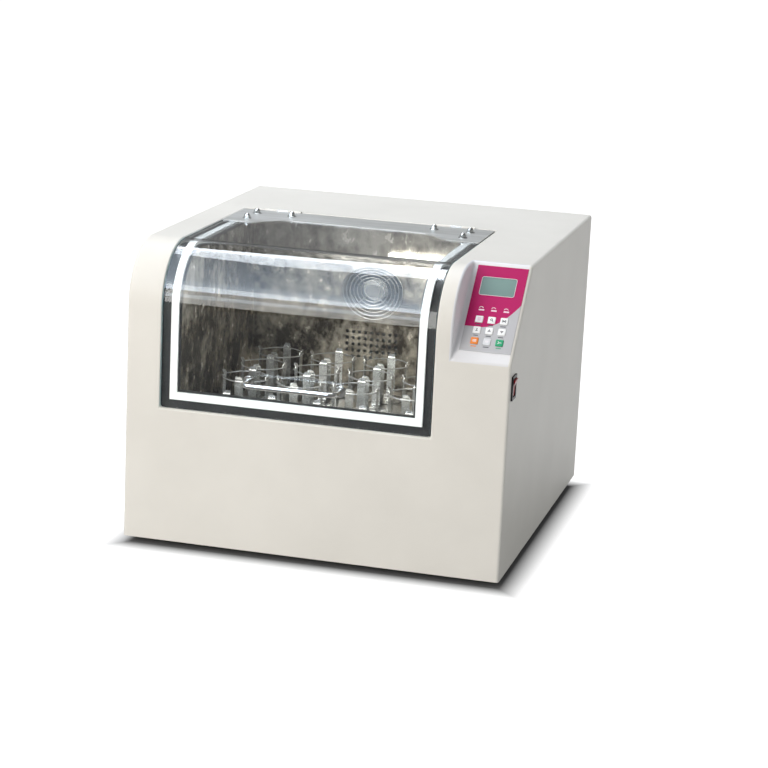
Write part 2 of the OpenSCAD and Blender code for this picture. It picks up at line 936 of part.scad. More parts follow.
// Holes for the crank pins through the chamber's floor
module crank_holes(z0, h, r) {
  for (c = CRANKS)
    translate([drive_x + c[0], drive_y + c[1], z0])
      cylinder(r = r, h = h);
}

// Places its children on the fan's axis at depth y, +Z pointing to the rear
module at_fan(y) {
  translate([fan_x, y, fan_z])
    rotate([-90, 0, 0])
      children();
}

module insulation() {
  floor_z = ch_z - liner_t - insul_t;
  side_l = [x_l + sheet_t + insul_gap, ch_x0 - liner_t];
  side_r = [ch_x1 + liner_t, step_x - sheet_t - insul_gap];
  rear_l = [ch_x0, fan_x - duct_half - insul_gap];
  rear_r = [fan_x + duct_half + insul_gap, ch_x1];
  color("#E8D9A8") {
    for (x = [side_l, side_r])
      intersection() {
        core(liner_e + insul_gap, x[0], x[1]);
        translate([x_l, ch_y0, floor_z])
          cube([body_w, ch_y1 - ch_y0, z_t - floor_z]);
      }
    difference() {
      translate([ch_x0 - liner_t, ch_y0, floor_z])
        cube([ch_w + 2 * liner_t, ch_y1 - ch_y0, insul_t]);
      crank_holes(floor_z - cut, insul_t + 2 * cut, crank_hole_r);
    }
    translate([ch_x0, y_f + sheet_t, floor_z])
      cube([ch_w, liner_e - sheet_t, win_z - floor_z - insul_sill]);
    for (x = [rear_l, rear_r])
      difference() {
        translate([x[0], duct_y0, floor_z])
          cube([x[1] - x[0], insul_t, z_t - floor_z - insul_top]);
        probe_hole(liner_t + insul_t);
      }
  }
}

module fan_guard() {
  step = (guard_r - guard_wire_r - hub_r) / (guard_rings - 1);
  guard_y = ch_y1 - guard_off;
  span = guard_r - guard_wire_r;
  color("#C8C8C6")
    union() {
      at_fan(guard_y)
        for (i = [0:guard_rings - 1])
          rotate_extrude()
            translate([hub_r + i * step, 0])
              circle(r = guard_wire_r, $fn = 14);
      at_fan(guard_y)
        for (a = [45, 135])
          rotate([0, 0, a])
            translate([-span, 0, 0])
              rotate([0, 90, 0])
                cylinder(r = guard_wire_r * thin, h = 2 * span, $fn = 24);
      for (a = [45:90:315])
        at_fan(guard_y)
          rotate([0, 0, a])
            translate([span, 0, 0])
              cylinder(r = guard_post_r, h = guard_off, $fn = 24);
      at_fan(guard_y - guard_wire_r)
        cylinder(r = guard_plate_r, h = guard_plate_t);
    }
}

module air_outlet() {
  cols = floor((screen_w - 2 * screen_edge) / screen_pitch);
  rows = floor((screen_l - 2 * screen_edge) / screen_pitch);
  color("#BDBBB6")
    difference() {
      translate([fan_x - screen_w / 2, ch_y1 - screen_t, screen_z - screen_l / 2])
        cube([screen_w, screen_t, screen_l]);
      for (i = [0:cols - 1])
        for (j = [0:rows - 1])
          translate([fan_x + (i - (cols - 1) / 2) * screen_pitch,
                     ch_y1 + cut,
                     screen_z + (j - (rows - 1) / 2) * screen_pitch])
            rotate([90, 0, 0])
              cylinder(r = screen_hole_r, h = screen_t + 2 * cut, $fn = 24);
    }
}

module air_duct() {
  color("#A9ABAD")
    difference() {
      translate([fan_x - duct_half, duct_y0, duct_z0])
        cube([2 * duct_half, duct_d, duct_z1 - duct_z0]);
      translate([fan_x - duct_half + liner_t, duct_y0 - cut, duct_z0 + liner_t])
        cube([2 * (duct_half - liner_t), duct_d - liner_t + cut, duct_z1 - duct_z0 - 2 * liner_t]);
      for (s = [-1, 1])
        translate([fan_x + s * heater_r / 2, heater_y, duct_z1 - liner_t - cut])
          cylinder(r = heater_wire_r + fix_gap, h = liner_t + 2 * cut);
    }
}

module fan_motor() {
  motor_y0 = duct_y1 - liner_t - fan_motor_l;
  shaft_y0 = fan_y0 + fan_face + cut;
  color("#4A4D50")
    union() {
      at_fan(motor_y0)
        cylinder(r = fan_motor_r, h = fan_motor_l);
      at_fan(shaft_y0)
        cylinder(r = fan_shaft_r, h = motor_y0 + lap - shaft_y0);
    }
}

module fan_impeller() {
  color("#EDEDED")
    difference() {
      union() {
        at_fan(fan_y0)
          cylinder(r = hub_r, h = fan_len);
        intersection() {
          at_fan(fan_y0 + fan_len / 2)
            for (i = [0:fan_blades - 1])
              rotate([0, 0, i * 360 / fan_blades])
                rotate([fan_blade_a, 0, 0])
                  translate([hub_r / 2, -fan_blade_w / 2, -fan_blade_t / 2])
                    cube([fan_r, fan_blade_w, fan_blade_t]);
          at_fan(fan_y0 + cut)
            cylinder(r = fan_r, h = fan_len - 2 * cut);
        }
      }
      at_fan(fan_y0 + fan_face)
        cylinder(r = fan_shaft_r + run_gap, h = fan_len);
    }
}

module heater() {
  lead_x = heater_r / 2;
  lead_z = sqrt(heater_r * heater_r - lead_x * lead_x);
  color("#7C7468")
    union() {
      at_fan(heater_y)
        rotate_extrude()
          translate([heater_r, 0])
            circle(r = heater_wire_r, $fn = 24);
      for (s = [-1, 1])
        translate([fan_x + s * lead_x, heater_y, fan_z + lead_z])
          cylinder(r = heater_wire_r * thin, h = duct_z1 + heater_tail - fan_z - lead_z, $fn = 32);
    }
}

module temperature_probe() {
  color("#F0F0EC")
    translate([probe_x, ch_y1, probe_z])
      rotate([90, 0, 0])
        union() {
          translate([0, 0, -probe_tail])
            cylinder(r = probe_r, h = probe_tail + probe_len);
          cylinder(r = cap_r, h = cap_len);
          translate([0, 0, cap_len])
            cylinder(r1 = cap_r, r2 = probe_r, h = cap_cone);
        }
}

module chamber_lamp() {
  color("#F4F4EA")
    union() {
      translate([tube_x0, tube_y, tube_z])
        rotate([0, 90, 0])
          cylinder(r = tube_r, h = tube_len);
      for (x = [tube_x0, tube_x1])
        translate([x, tube_y, tube_z])
          sphere(r = tube_r);
      for (x = [tube_x0 + clip_in, tube_x1 - clip_in - clip_w])
        translate([x, tube_y, tube_z - clip_h / 2])
          cube([clip_w, ch_y1 - tube_y, clip_h]);
    }
}

module drive_frame() {
  plate_x = idler_dx + plate_edge;
  plate_y0 = -idler_front - plate_edge;
  plate_y1 = idler_rear + plate_edge;
  color("#5B6166")
    difference() {
      union() {
        translate([drive_x - plate_x, drive_y + plate_y0, z_pan])
          cube([2 * plate_x, plate_y1 - plate_y0, frame_t]);
        translate([drive_x, drive_y, z_pan])
          cylinder(r = shaft_r + housing_wall, h = pulley_z0 - arm_gap - z_pan);
        for (c = IDLERS)
          translate([drive_x + c[0], drive_y + c[1], z_pan])
            cylinder(r = idler_shaft_r + housing_wall, h = housing_z - z_pan);
      }
      translate([drive_x, drive_y, z_frame])
        cylinder(r = shaft_r + run_gap, h = body_h);
      for (c = IDLERS)
        translate([drive_x + c[0], drive_y + c[1], z_frame])
          cylinder(r = idler_shaft_r + run_gap, h = body_h);
    }
}

// Crank pin above an arm, reaching into the platform
module crank_pin() {
  translate([orbit_r, 0, arm_z1 - cut])
    cylinder(r = pin_r, h = pin_z1 - arm_z1 + cut);
}

module drive_shaft() {
  color("#B8BCC0")
    translate([drive_x, drive_y, 0])
      union() {
        translate([0, 0, shaft_z0])
          cylinder(r = shaft_r, h = arm_z1 - shaft_z0);
        translate([0, 0, arm_z0])
          cylinder(r = arm_r, h = arm_t);
        crank_pin();
      }
}

module drive_pulley() {
  color("#9DA3A8")
    translate([drive_x, drive_y, pulley_z0])
      difference() {
        union() {
          cylinder(r = pulley_r, h = pulley_h);
          for (z = [0, pulley_h - pulley_lip_t])
            translate([0, 0, z])
              cylinder(r = pulley_r + pulley_lip, h = pulley_lip_t);
        }
        translate([0, 0, -cut])
          cylinder(r = shaft_r + fix_gap, h = pulley_h + 2 * cut);
      }
}

module counterweight() {
  color("#6F7478")
    translate([drive_x, drive_y, arm_z0])
      difference() {
        cylinder(r = weight_r, h = arm_t);
        translate([0, 0, -cut])
          cylinder(r = arm_r + fix_gap, h = arm_t + 2 * cut);
        translate([0, -weight_r - cut, -cut])
          cube([weight_r + cut, 2 * (weight_r + cut), arm_t + 2 * cut]);
      }
}

// Eccentric that keeps one corner of the platform on its orbit
module idler_crank(c) {
  color("#B8BCC0")
    translate([drive_x + c[0], drive_y + c[1], 0])
      union() {
        translate([0, 0, shaft_z0])
          cylinder(r = idler_shaft_r, h = arm_z1 - shaft_z0);
        translate([0, 0, arm_z0])
          cylinder(r = arm_r, h = arm_t);
        crank_pin();
      }
}

module drive_motor() {
  color("#303438")
    translate([drive_x, motor_y, motor_z0])
      difference() {
        union() {
          cylinder(r = motor_r, h = motor_h);
          cylinder(r = motor_boss_r, h = motor_h + bracket_t + cut);
        }
        translate([0, 0, motor_floor])
          cylinder(r = motor_shaft_r + run_gap, h = motor_h + body_h);
      }
}

module motor_bracket() {
  color("#7E8488")
    translate([drive_x, motor_y, 0])
      difference() {
        union() {
          translate([-bracket_half, -bracket_half, bracket_z])
            cube([2 * bracket_half, 2 * bracket_half, bracket_t]);
          for (x = [-1, 1])
            for (y = [-1, 1])
              translate([x * (bracket_half - leg_r), y * (bracket_half - leg_r), z_pan])
                cylinder(r = leg_r, h = bracket_z - z_pan + cut);
        }
        translate([0, 0, bracket_z - cut])
          cylinder(r = motor_boss_r + fix_gap, h = bracket_t + 2 * cut);
      }
}

module motor_pulley() {
  shaft_z = motor_z0 + motor_floor + cut;
  color("#9DA3A8")
    translate([drive_x, motor_y, 0])
      union() {
        translate([0, 0, shaft_z])
          cylinder(r = motor_shaft_r, h = pulley_z1 + cut - shaft_z);
        translate([0, 0, pulley_z0])
          cylinder(r = motor_pulley_r, h = pulley_h);
        for (z = [pulley_z0, pulley_z1 - pulley_lip_t])
          translate([0, 0, z])
            cylinder(r = motor_pulley_r + pulley_lip, h = pulley_lip_t);
      }
}

// Filled outline of the belt's loop, g outside the pulleys
module belt_loop(g, z0, h) {
  translate([0, 0, z0])
    linear_extrude(height = h)
      hull() {
        translate([drive_x, drive_y])
          circle(r = pulley_r + g, $fn = 96);
        translate([drive_x, motor_y])
          circle(r = motor_pulley_r + g, $fn = 96);
      }
}

module drive_belt() {
  belt_z = pulley_z0 + pulley_lip_t + clear_gap;
  belt_h = pulley_h - 2 * (pulley_lip_t + clear_gap);
  color("#1E1E1E")
    difference() {
      belt_loop(clear_gap + belt_t, belt_z, belt_h);
      belt_loop(clear_gap, belt_z - cut, belt_h + 2 * cut);
    }
}

module power_supply() {
  color("#B9BDBF")
    union() {
      translate([x_r - psu_side - psu_w, y_b - psu_back - psu_d, z_pan])
        cube([psu_w, psu_d, psu_h]);
      translate([x_r - psu_side - psu_w + terminal_in, y_b - psu_back - psu_d + terminal_back, z_pan])
        cube([psu_w - 2 * terminal_in, terminal_t, psu_h + terminal_up]);
    }
}

module mains_inlet() {
  color("#26282A")
    translate([inlet_x, y_b, inlet_z])
      difference() {
        union() {
          translate([-inlet_w / 2, -inlet_depth, -inlet_h / 2])
            cube([inlet_w, inlet_depth + cut, inlet_h]);
          translate([-inlet_w / 2 - inlet_lip, 0, -inlet_h / 2 - inlet_lip])
            cube([inlet_w + 2 * inlet_lip, inlet_lip_t, inlet_h + 2 * inlet_lip]);
        }
        difference() {
          translate([-socket_w / 2, inlet_lip_t - socket_depth, -socket_h / 2])
            cube([socket_w, socket_depth + cut, socket_h]);
          for (p = BLADES)
            translate([p[0] - blade_wide / 2, inlet_lip_t - socket_depth - cut, p[1] - blade_high / 2])
              cube([blade_wide, socket_depth - 2 * cut, blade_high]);
        }
      }
}

module switch_bezel() {
  color("#1A1A1C")
    translate([x_r, switch_y, switch_z])
      difference() {
        union() {
          translate([-bezel_depth, -bezel_w / 2, -bezel_l / 2])
            cube([bezel_depth + cut, bezel_w, bezel_l]);
          translate([0, -bezel_w / 2 - bezel_lip, -bezel_l / 2 - bezel_lip])
            cube([bezel_lip_t, bezel_w + 2 * bezel_lip, bezel_l + 2 * bezel_lip]);
        }
        translate([-bezel_depth + bezel_wall, -switch_w / 2, -switch_l / 2])
          cube([bezel_depth + body_w, switch_w, switch_l]);
        rotate([90, 0, 0])
          cylinder(r = trunnion_r + run_gap, h = switch_w + 2 * (trunnion_in + clear_gap), center = true,
                   $fn = 32);
      }
}

module power_rocker() {
  color("#8E1F22")
    translate([x_r, switch_y, switch_z])
      rotate([0, rocker_tilt, 0])
        rotate([90, 0, 0])
          union() {
            linear_extrude(height = switch_w - 2 * clear_gap, center = true)
              polygon([
                [-rocker_back, -rocker_foot], [-rocker_back, rocker_foot],
                [0, rocker_end], [rocker_proud, rocker_end], [rocker_dip, 0],
                [rocker_proud, -rocker_end], [0, -rocker_end]
              ]);
            cylinder(r = trunnion_r, h = switch_w + 2 * trunnion_in, center = true, $fn = 32);
          }
}

// Tube of a hinge between two distances from the hinge's middle
module knuckle(xc, x0, x1) {
  translate([xc + x0, hinge_y, hinge_z])
    rotate([0, 90, 0])
      cylinder(r = knuckle_r, h = x1 - x0, $fn = 48);
}

module hinge_bore(xc) {
  translate([xc - hinge_len, hinge_y, hinge_z])
    rotate([0, 90, 0])
      cylinder(r = hinge_pin_r + run_gap, h = 2 * hinge_len, $fn = 48);
}

module hinge_leaves() {
  mid = hinge_len * knuckle_part / 2;
  leaf_z0 = z_t - flange_e;
  leaf_z1 = hinge_z - knuckle_r - leaf_drop;
  color("#C6C8C8")
    for (xc = HINGES)
      difference() {
        union() {
          translate([xc - hinge_len / 2, win_y - leaf_t, leaf_z0])
            cube([hinge_len, leaf_t, leaf_z1 - leaf_z0]);
          for (s = [0, 1])
            mirror_at(xc, s) {
              translate([xc - hinge_len / 2, win_y - leaf_t, leaf_z0])
                cube([hinge_len / 2 - mid, leaf_t, hinge_z - leaf_z0]);
              knuckle(xc, -hinge_len / 2, -mid);
            }
        }
        hinge_bore(xc);
      }
}

// Children as they are, or mirrored about the plane at x
module mirror_at(x, flip) {
  translate([x, 0, 0])
    mirror([flip, 0, 0])
      translate([-x, 0, 0])
        children();
}

module hinge_pins() {
  color("#8C8F90")
    for (xc = HINGES)
      translate([xc - hinge_len / 2, hinge_y, hinge_z])
        rotate([0, 90, 0])
          cylinder(r = hinge_pin_r, h = hinge_len, $fn = 48);
}

// Front edge of the strip: distance from the lid's rear edge, at distance x from its side
function strip_front(x) =
  x < lobe_len ? strip_end :
  x > lobe_len + lobe_blend ? strip_mid :
  strip_mid + (strip_end - strip_mid) * (1 + cos(180 * (x - lobe_len) / lobe_blend)) / 2;

module strip_outline() {
  left = [for (x = STRIP_EDGE) [lid_x0 + x, lid_y - strip_front(x)]];
  right = [for (i = [len(STRIP_EDGE) - 1:-1:0])
    [lid_x1 - STRIP_EDGE[i], lid_y - strip_front(STRIP_EDGE[i])]];
  polygon(concat(left, right, [[lid_x1, lid_y], [lid_x0, lid_y]]));
}

module hinge_strip() {
  mid = hinge_len * knuckle_part / 2 - clear_gap;
  color("#CFCFCB")
    difference() {
      union() {
        translate([0, 0, hinge_z])
          linear_extrude(height = strip_t)
            strip_outline();
        for (xc = HINGES) {
          knuckle(xc, -mid, mid);
          translate([xc - mid, lid_y - cut, hinge_z])
            cube([2 * mid, hinge_y - lid_y + cut, strip_t]);
        }
      }
      for (xc = HINGES)
        hinge_bore(xc);
      at_nuts()
        translate([0, 0, -cut])
          cylinder(r = stud_r + clear_gap, h = strip_t + 2 * cut, $fn = 32);
    }
}

// Places its children at each nut on the strip, at the lid's outer face
module at_nuts() {
  for (p = [[nut_side, nut_rear], [nut_side, nut_front], [nut_inner, nut_rear]]) {
    translate([lid_x0 + p[0], lid_y - p[1], hinge_z])
      children();
    translate([lid_x1 - p[0], lid_y - p[1], hinge_z])
      children();
  }
}

// Places its children at the handle's legs, +Z pointing out of the lid's face
module at_legs() {
  for (s = [-1, 1])
    translate([lid_xc + s * handle_len / 2, handle_y, handle_z])
      rotate([90, 0, 0])
        children();
}

module lid_window() {
  color([0.82, 0.90, 0.94, 0.3])
    difference() {
      intersection() {
        bent_sheet(lid_sink, seal_e, lid_x0, lid_x1);
        lid_zone(0);
      }
      at_nuts()
        translate([0, 0, -lid_t - cut])
          cylinder(r = stud_r + clear_gap, h = lid_t + 2 * cut, $fn = 32);
      at_legs()
        translate([0, 0, -lid_t - cut])
          cylinder(r = stud_r + clear_gap, h = lid_t + 2 * cut, $fn = 32);
    }
}

module lid_seal() {
  color("#F5F5F2")
    difference() {
      intersection() {
        bent_sheet(seal_e, seal_e + seal_t, lid_x0 + seal_inset, lid_x1 - seal_inset);
        lid_zone(seal_inset);
      }
      lid_zone(seal_inset + seal_w);
    }
}

module lid_fasteners() {
  color("#D6D6D2") {
    at_nuts()
      union() {
        translate([0, 0, strip_t])
          cylinder(r = nut_washer_r, h = nut_washer_t);
        translate([0, 0, strip_t + nut_washer_t])
          cylinder(r = nut_r, h = nut_h, $fn = 6);
        translate([0, 0, strip_t + nut_washer_t + nut_h - dome_sink])
          sphere(r = dome_r);
        translate([0, 0, -lid_t - cut])
          cylinder(r = stud_r, h = lid_t + strip_t + 2 * cut);
        translate([0, 0, -lid_t - head_t])
          cylinder(r = head_r, h = head_t);
      }
    at_legs()
      translate([0, 0, -lid_t - head_t])
        difference() {
          cylinder(r = head_r, h = head_t);
          translate([0, 0, -cut])
            cylinder(r = stud_r + fix_gap, h = head_t + 2 * cut);
        }
  }
}

module lid_handle() {
  leg = handle_out - handle_bend;
  color("#D2D2CE")
    union() {
      at_legs()
        union() {
          translate([0, 0, -lid_t - head_t])
            cylinder(r = stud_r, h = lid_t + head_t + cut);
          cylinder(r = washer_r, h = washer_t);
          cylinder(r = handle_r, h = leg + lap);
        }
      for (s = [-1, 1])
        translate([lid_xc + s * (handle_len / 2 - handle_bend), handle_y - leg, handle_z])
          rotate([0, 0, s > 0 ? -90 : -180])
            rotate_extrude(angle = 90)
              translate([handle_bend, 0])
                circle(r = handle_r, $fn = 32);
      translate([lid_xc - handle_len / 2 + handle_bend, handle_y - handle_out, handle_z])
        rotate([0, 90, 0])
          cylinder(r = handle_r, h = handle_len - 2 * handle_bend, $fn = 32);
    }
}

module platform_tray() {
  color("#B5B4B0")
    difference() {
      translate([tray_x0, tray_y0, z_tray - tray_rim])
        cube([tray_w, tray_d, tray_rim]);
      translate([tray_x0 + tray_t, tray_y0 + tray_t, z_tray - tray_rim - cut])
        cube([tray_w - 2 * tray_t, tray_d - 2 * tray_t, tray_rim - tray_t + cut]);
      for (c = CLAMPS)
        translate([c[0], c[1], z_tray - tray_t - cut])
          cylinder(r = clamp_screw_r + fix_gap, h = tray_t + 2 * cut, $fn = 32);
    }
}

module platform_frame() {
  bar_y0 = drive_y - idler_front - bar_w / 2;
  bar_y1 = drive_y + idler_rear + bar_w / 2;
  color("#A8AAA8")
    difference() {
      union() {
        for (s = [-1, 1])
          translate([tray_xc + s * idler_dx - bar_w / 2, bar_y0, bar_z0])
            cube([bar_w, bar_y1 - bar_y0, bar_h]);
        for (y = [-idler_front, 0, idler_rear])
          translate([tray_xc - idler_dx, drive_y + y - bar_w / 2, bar_z0])
            cube([2 * idler_dx, bar_w, bar_h]);
      }
      for (c = CLAMPS)
        translate([c[0], c[1], z_tray - screw_hole_c - tray_t])
          cylinder(r = clamp_screw_r + clear_gap, h = screw_hole_c + tray_t, $fn = 32);
    }
}

module platform_bearings() {
  color("#85898C")
    for (c = CRANKS)
      translate([tray_xc + c[0], drive_y + c[1], bearing_z0])
        difference() {
          cylinder(r = bearing_r, h = bar_z0 - bearing_z0);
          translate([0, 0, -cut])
            cylinder(r = pin_r + run_gap, h = bar_z0 - bearing_z0 + 2 * cut);
        }
}

module clamp_bases() {
  color("#C2C2BE")
    for (c = CLAMPS)
      translate([c[0], c[1], z_tray])
        union() {
          cylinder(r = c[2] - clamp_base_in, h = clamp_base_t);
          translate([0, 0, clamp_base_t])
            cylinder(r = clamp_head_r, h = clamp_head_t);
          translate([0, 0, -screw_len_c])
            cylinder(r = clamp_screw_r, h = screw_len_c + clamp_base_t);
        }
}

// One leaf finger: a foot on the base, an upright, and a tip curled outwards
module finger(r, h) {
  foot_x = r - clamp_base_in - finger_foot;
  base = clamp_base_t;
  translate([0, finger_w / 2, 0])
    rotate([90, 0, 0])
      linear_extrude(height = finger_w)
        polygon([
          [foot_x, base], [r + finger_lean, base], [r + finger_lean + finger_t, base + finger_t],
          [r, h - hook_h], [r - finger_waist, h - wire_r], [r + hook_out, h + hook_h],
          [r + hook_out - finger_t, h + hook_h + finger_waist], [r - finger_waist - finger_t, h - wire_r],
          [r - finger_t, h - hook_h], [r + finger_lean - finger_t, base + 2 * finger_t],
          [foot_x, base + finger_t]
        ]);
}

module clamp_fingers() {
  color("#DADAD6")
    for (c = CLAMPS)
      for (a = [0:90:270])
        translate([c[0], c[1], z_tray])
          rotate([0, 0, a - 90])
            finger(c[2], c[3]);
}

// Springs that close the fingers round a flask, clear of the fingers' corners
module clamp_rings() {
  color("#D0D0CC")
    for (c = CLAMPS)
      translate([c[0], c[1], z_tray + c[3] - hook_h])
        rotate_extrude()
          translate([norm([c[2], finger_w / 2]) + wire_r + clear_gap, 0])
            circle(r = wire_r, $fn = 16);
}

left_side_panel();
right_side_panel();
front_top_cover();
control_fascia();
rear_panel();
base_pan();
feet();
cabinet_screws();
window_frame();
chamber_liner();
insulation();
fan_guard();
air_outlet();
air_duct();
fan_motor();
heater();
temperature_probe();
chamber_lamp();
drive_frame();
drive_motor();
motor_bracket();
drive_belt();
power_supply();
control_board();
display_window();
indicator_lamps();
panel_overlay();
switch_bezel();
mains_inlet();
hinge_leaves();
hinge_pins();
lid_window();
lid_seal();
hinge_strip();
lid_fasteners();
lid_handle();
drive_shaft();
drive_pulley();
counterweight();
idler_crank(IDLERS[0]);  // idler_crank_front
idler_crank(IDLERS[1]);  // idler_crank_left
idler_crank(IDLERS[2]);  // idler_crank_right
motor_pulley();
platform_tray();
platform_frame();
platform_bearings();
clamp_bases();
clamp_fingers();
clamp_rings();
fan_impeller();
power_rocker();
key(0, "#F3F3F3");  // key_1
key(1, "#F3F3F3");  // key_2
key(2, "#F3F3F3");  // key_3
key(3, "#F3F3F3");  // key_4
key(4, "#F3F3F3");  // key_5
key(5, "#F3F3F3");  // key_6
key(6, "#E8862E");  // key_7
key(7, "#D8D8D8");  // key_8
key(8, "#2F9E6E");  // key_9
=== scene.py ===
"""Dresses the incubated benchtop shaker and sets it in a small photo studio."""

import logging
import math
from abc import ABC, abstractmethod
from collections.abc import Callable, Iterable, Sequence
from dataclasses import dataclass, field
from enum import Enum

import bmesh
import bpy
from mathutils import Matrix, Vector


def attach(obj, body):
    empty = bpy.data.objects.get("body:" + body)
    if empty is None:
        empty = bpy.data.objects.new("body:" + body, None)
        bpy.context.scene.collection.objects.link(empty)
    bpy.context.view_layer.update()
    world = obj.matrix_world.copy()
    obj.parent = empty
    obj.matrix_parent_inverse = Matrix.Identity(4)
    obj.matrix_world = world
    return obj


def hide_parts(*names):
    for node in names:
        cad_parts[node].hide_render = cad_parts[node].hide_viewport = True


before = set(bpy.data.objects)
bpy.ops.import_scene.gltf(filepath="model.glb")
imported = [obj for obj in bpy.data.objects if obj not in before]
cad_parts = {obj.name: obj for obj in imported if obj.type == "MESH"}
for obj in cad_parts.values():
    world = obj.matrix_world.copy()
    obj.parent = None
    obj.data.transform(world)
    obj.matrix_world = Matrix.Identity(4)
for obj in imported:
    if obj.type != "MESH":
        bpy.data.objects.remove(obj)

LOG = logging.getLogger("shaker")
# Kinds of value that the pieces share.
Socket = bpy.types.NodeSocket
Mesh = bpy.types.Mesh
Corner = bmesh.types.BMVert
Flat = tuple[float, float]
Point = tuple[float, float, float]
Quad = tuple[float, float, float, float]

# Numbers of the axes.
X, Y, Z = range(3)
FULL_TURN = 2 * math.pi
QUARTER_TURN = math.pi / 2
EIGHTH_TURN = math.pi / 4
# What lays a shape drawn upright with its top to the front, and to the rear.
TO_FRONT = Matrix.Rotation(QUARTER_TURN, 4, "X")
TO_REAR = Matrix.Rotation(-QUARTER_TURN, 4, "X")
# Places nearer than this, in metres, are one place: as drawn, after rounding, after sloping cuts.
SAME_DRAWN = 1e-7
SAME = 1e-6
SAME_CUT = 1e-5
# Least angle between faces that a smooth mesh shows as an edge, in degrees.
SOFT_ANGLE = 35.0


class Body(Enum):
    """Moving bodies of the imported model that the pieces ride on."""

    CABINET = "cabinet"
    LID = "lid"
    PLATFORM = "platform"
    FAN = "fan"
    ROCKER = "rocker"


def tone(code: str) -> Quad:
    """Turns a display colour into the linear one that a shader takes.

    Args:
        code: The colour as six hexadecimal digits.

    Returns:
        Linear red, green and blue, and full alpha.
    """
    parts = [int(code[i : i + 2], 16) / 255 for i in (0, 2, 4)]
    linear = [c / 12.92 if c <= 0.04045 else ((c + 0.055) / 1.055) ** 2.4 for c in parts]
    return linear[0], linear[1], linear[2], 1.0


class Nodes:
    """Node tree written as plain calls."""

    def __init__(self, tree: bpy.types.NodeTree) -> None:
        """Empties the tree."""
        self.tree = tree
        tree.nodes.clear()

    def add(self, kind: str) -> bpy.types.Node:
        """Adds a node of one kind."""
        return self.tree.nodes.new(kind)

    def join(self, source: Socket, target: Socket) -> None:
        """Links one socket to another."""
        self.tree.links.new(source, target)

    def put(self, target: Socket, value: object) -> None:
        """Links a socket, or sets its value.

        Args:
            target: Input socket.
            value: A socket to link, or a plain value.
        """
        if isinstance(value, Socket):
            self.join(value, target)
        else:
            target.default_value = value

    def place(self) -> Socket:
        """Gives the place of a point in the row frame, in metres."""
        return self.add("ShaderNodeTexCoord").outputs["Object"]

    def axes(self, vector: Socket) -> tuple[Socket, Socket, Socket]:
        """Splits a vector.

        Args:
            vector: The vector's socket.

        Returns:
            Its three parts.
        """
        node = self.add("ShaderNodeSeparateXYZ")
        self.join(vector, node.inputs[0])
        return node.outputs[0], node.outputs[1], node.outputs[2]

    def stretch(self, vector: Socket, scale: Point) -> Socket:
        """Scales a vector.

        Args:
            vector: The vector's socket.
            scale: Factor along each axis.

        Returns:
            The scaled vector.
        """
        node = self.add("ShaderNodeMapping")
        self.join(vector, node.inputs["Vector"])
        node.inputs["Scale"].default_value = scale
        return node.outputs[0]

    def noise(
        self, scale: float, detail: float = 3.0, rough: float = 0.5, at: Socket | None = None
    ) -> Socket:
        """Adds a noise.

        Args:
            scale: Cells in a metre.
            detail: Number of finer layers.
            rough: Share of each finer layer.
            at: Vector to read it at, or the row frame.

        Returns:
            The noise, from 0 to 1.
        """
        node = self.add("ShaderNodeTexNoise")
        self.join(at or self.place(), node.inputs["Vector"])
        node.inputs["Scale"].default_value = scale
        node.inputs["Detail"].default_value = detail
        node.inputs["Roughness"].default_value = rough
        return node.outputs[0]

    def math(self, kind: str, a: object, b: object = 0.0, clamp: bool = False) -> Socket:
        """Adds one sum.

        Args:
            kind: Blender's name of the operation.
            a: First value or socket.
            b: Second value or socket.
            clamp: Whether the result stays from 0 to 1.

        Returns:
            The result.
        """
        node = self.add("ShaderNodeMath")
        node.operation = kind
        node.use_clamp = clamp
        self.put(node.inputs[0], a)
        self.put(node.inputs[1], b)
        return node.outputs[0]

    def span(self, value: Socket, low: float, high: float, to_low: object, to_high: object) -> Socket:
        """Maps a range of values to another, and holds what lies outside.

        Args:
            value: The value.
            low: Start of its range.
            high: End of its range.
            to_low: Result at the start, or its socket.
            to_high: Result at the end, or its socket.

        Returns:
            The mapped value.
        """
        node = self.add("ShaderNodeMapRange")
        self.join(value, node.inputs["Value"])
        ends = {"From Min": low, "From Max": high, "To Min": to_low, "To Max": to_high}
        for name, end in ends.items():
            self.put(node.inputs[name], end)
        return node.outputs[0]

    def mix(self, share: Socket, a: object, b: object) -> Socket:
        """Mixes two colours.

        Args:
            share: Share of the second one.
            a: First colour or socket.
            b: Second colour or socket.

        Returns:
            The mixed colour.
        """
        node = self.add("ShaderNodeMix")
        node.data_type = "RGBA"
        self.put(node.inputs["Factor"], share)
        # The colour sockets go by number, as their names are also those of the number sockets.
        self.put(node.inputs[6], a)
        self.put(node.inputs[7], b)
        return node.outputs[2]

    def between(self, noise: Socket, low: float, high: float) -> Socket:
        """Spreads the middle of a noise's range over two values."""
        return self.span(noise, 0.3, 0.7, low, high)

    def two_tone(self, noise: Socket, colour: str, shade: str, reach: float = 0.2) -> Socket:
        """Mixes two display colours by a noise, pure beyond a reach from the middle of its range."""
        return self.mix(self.span(noise, 0.5 - reach, 0.5 + reach, 0, 1), tone(colour), tone(shade))


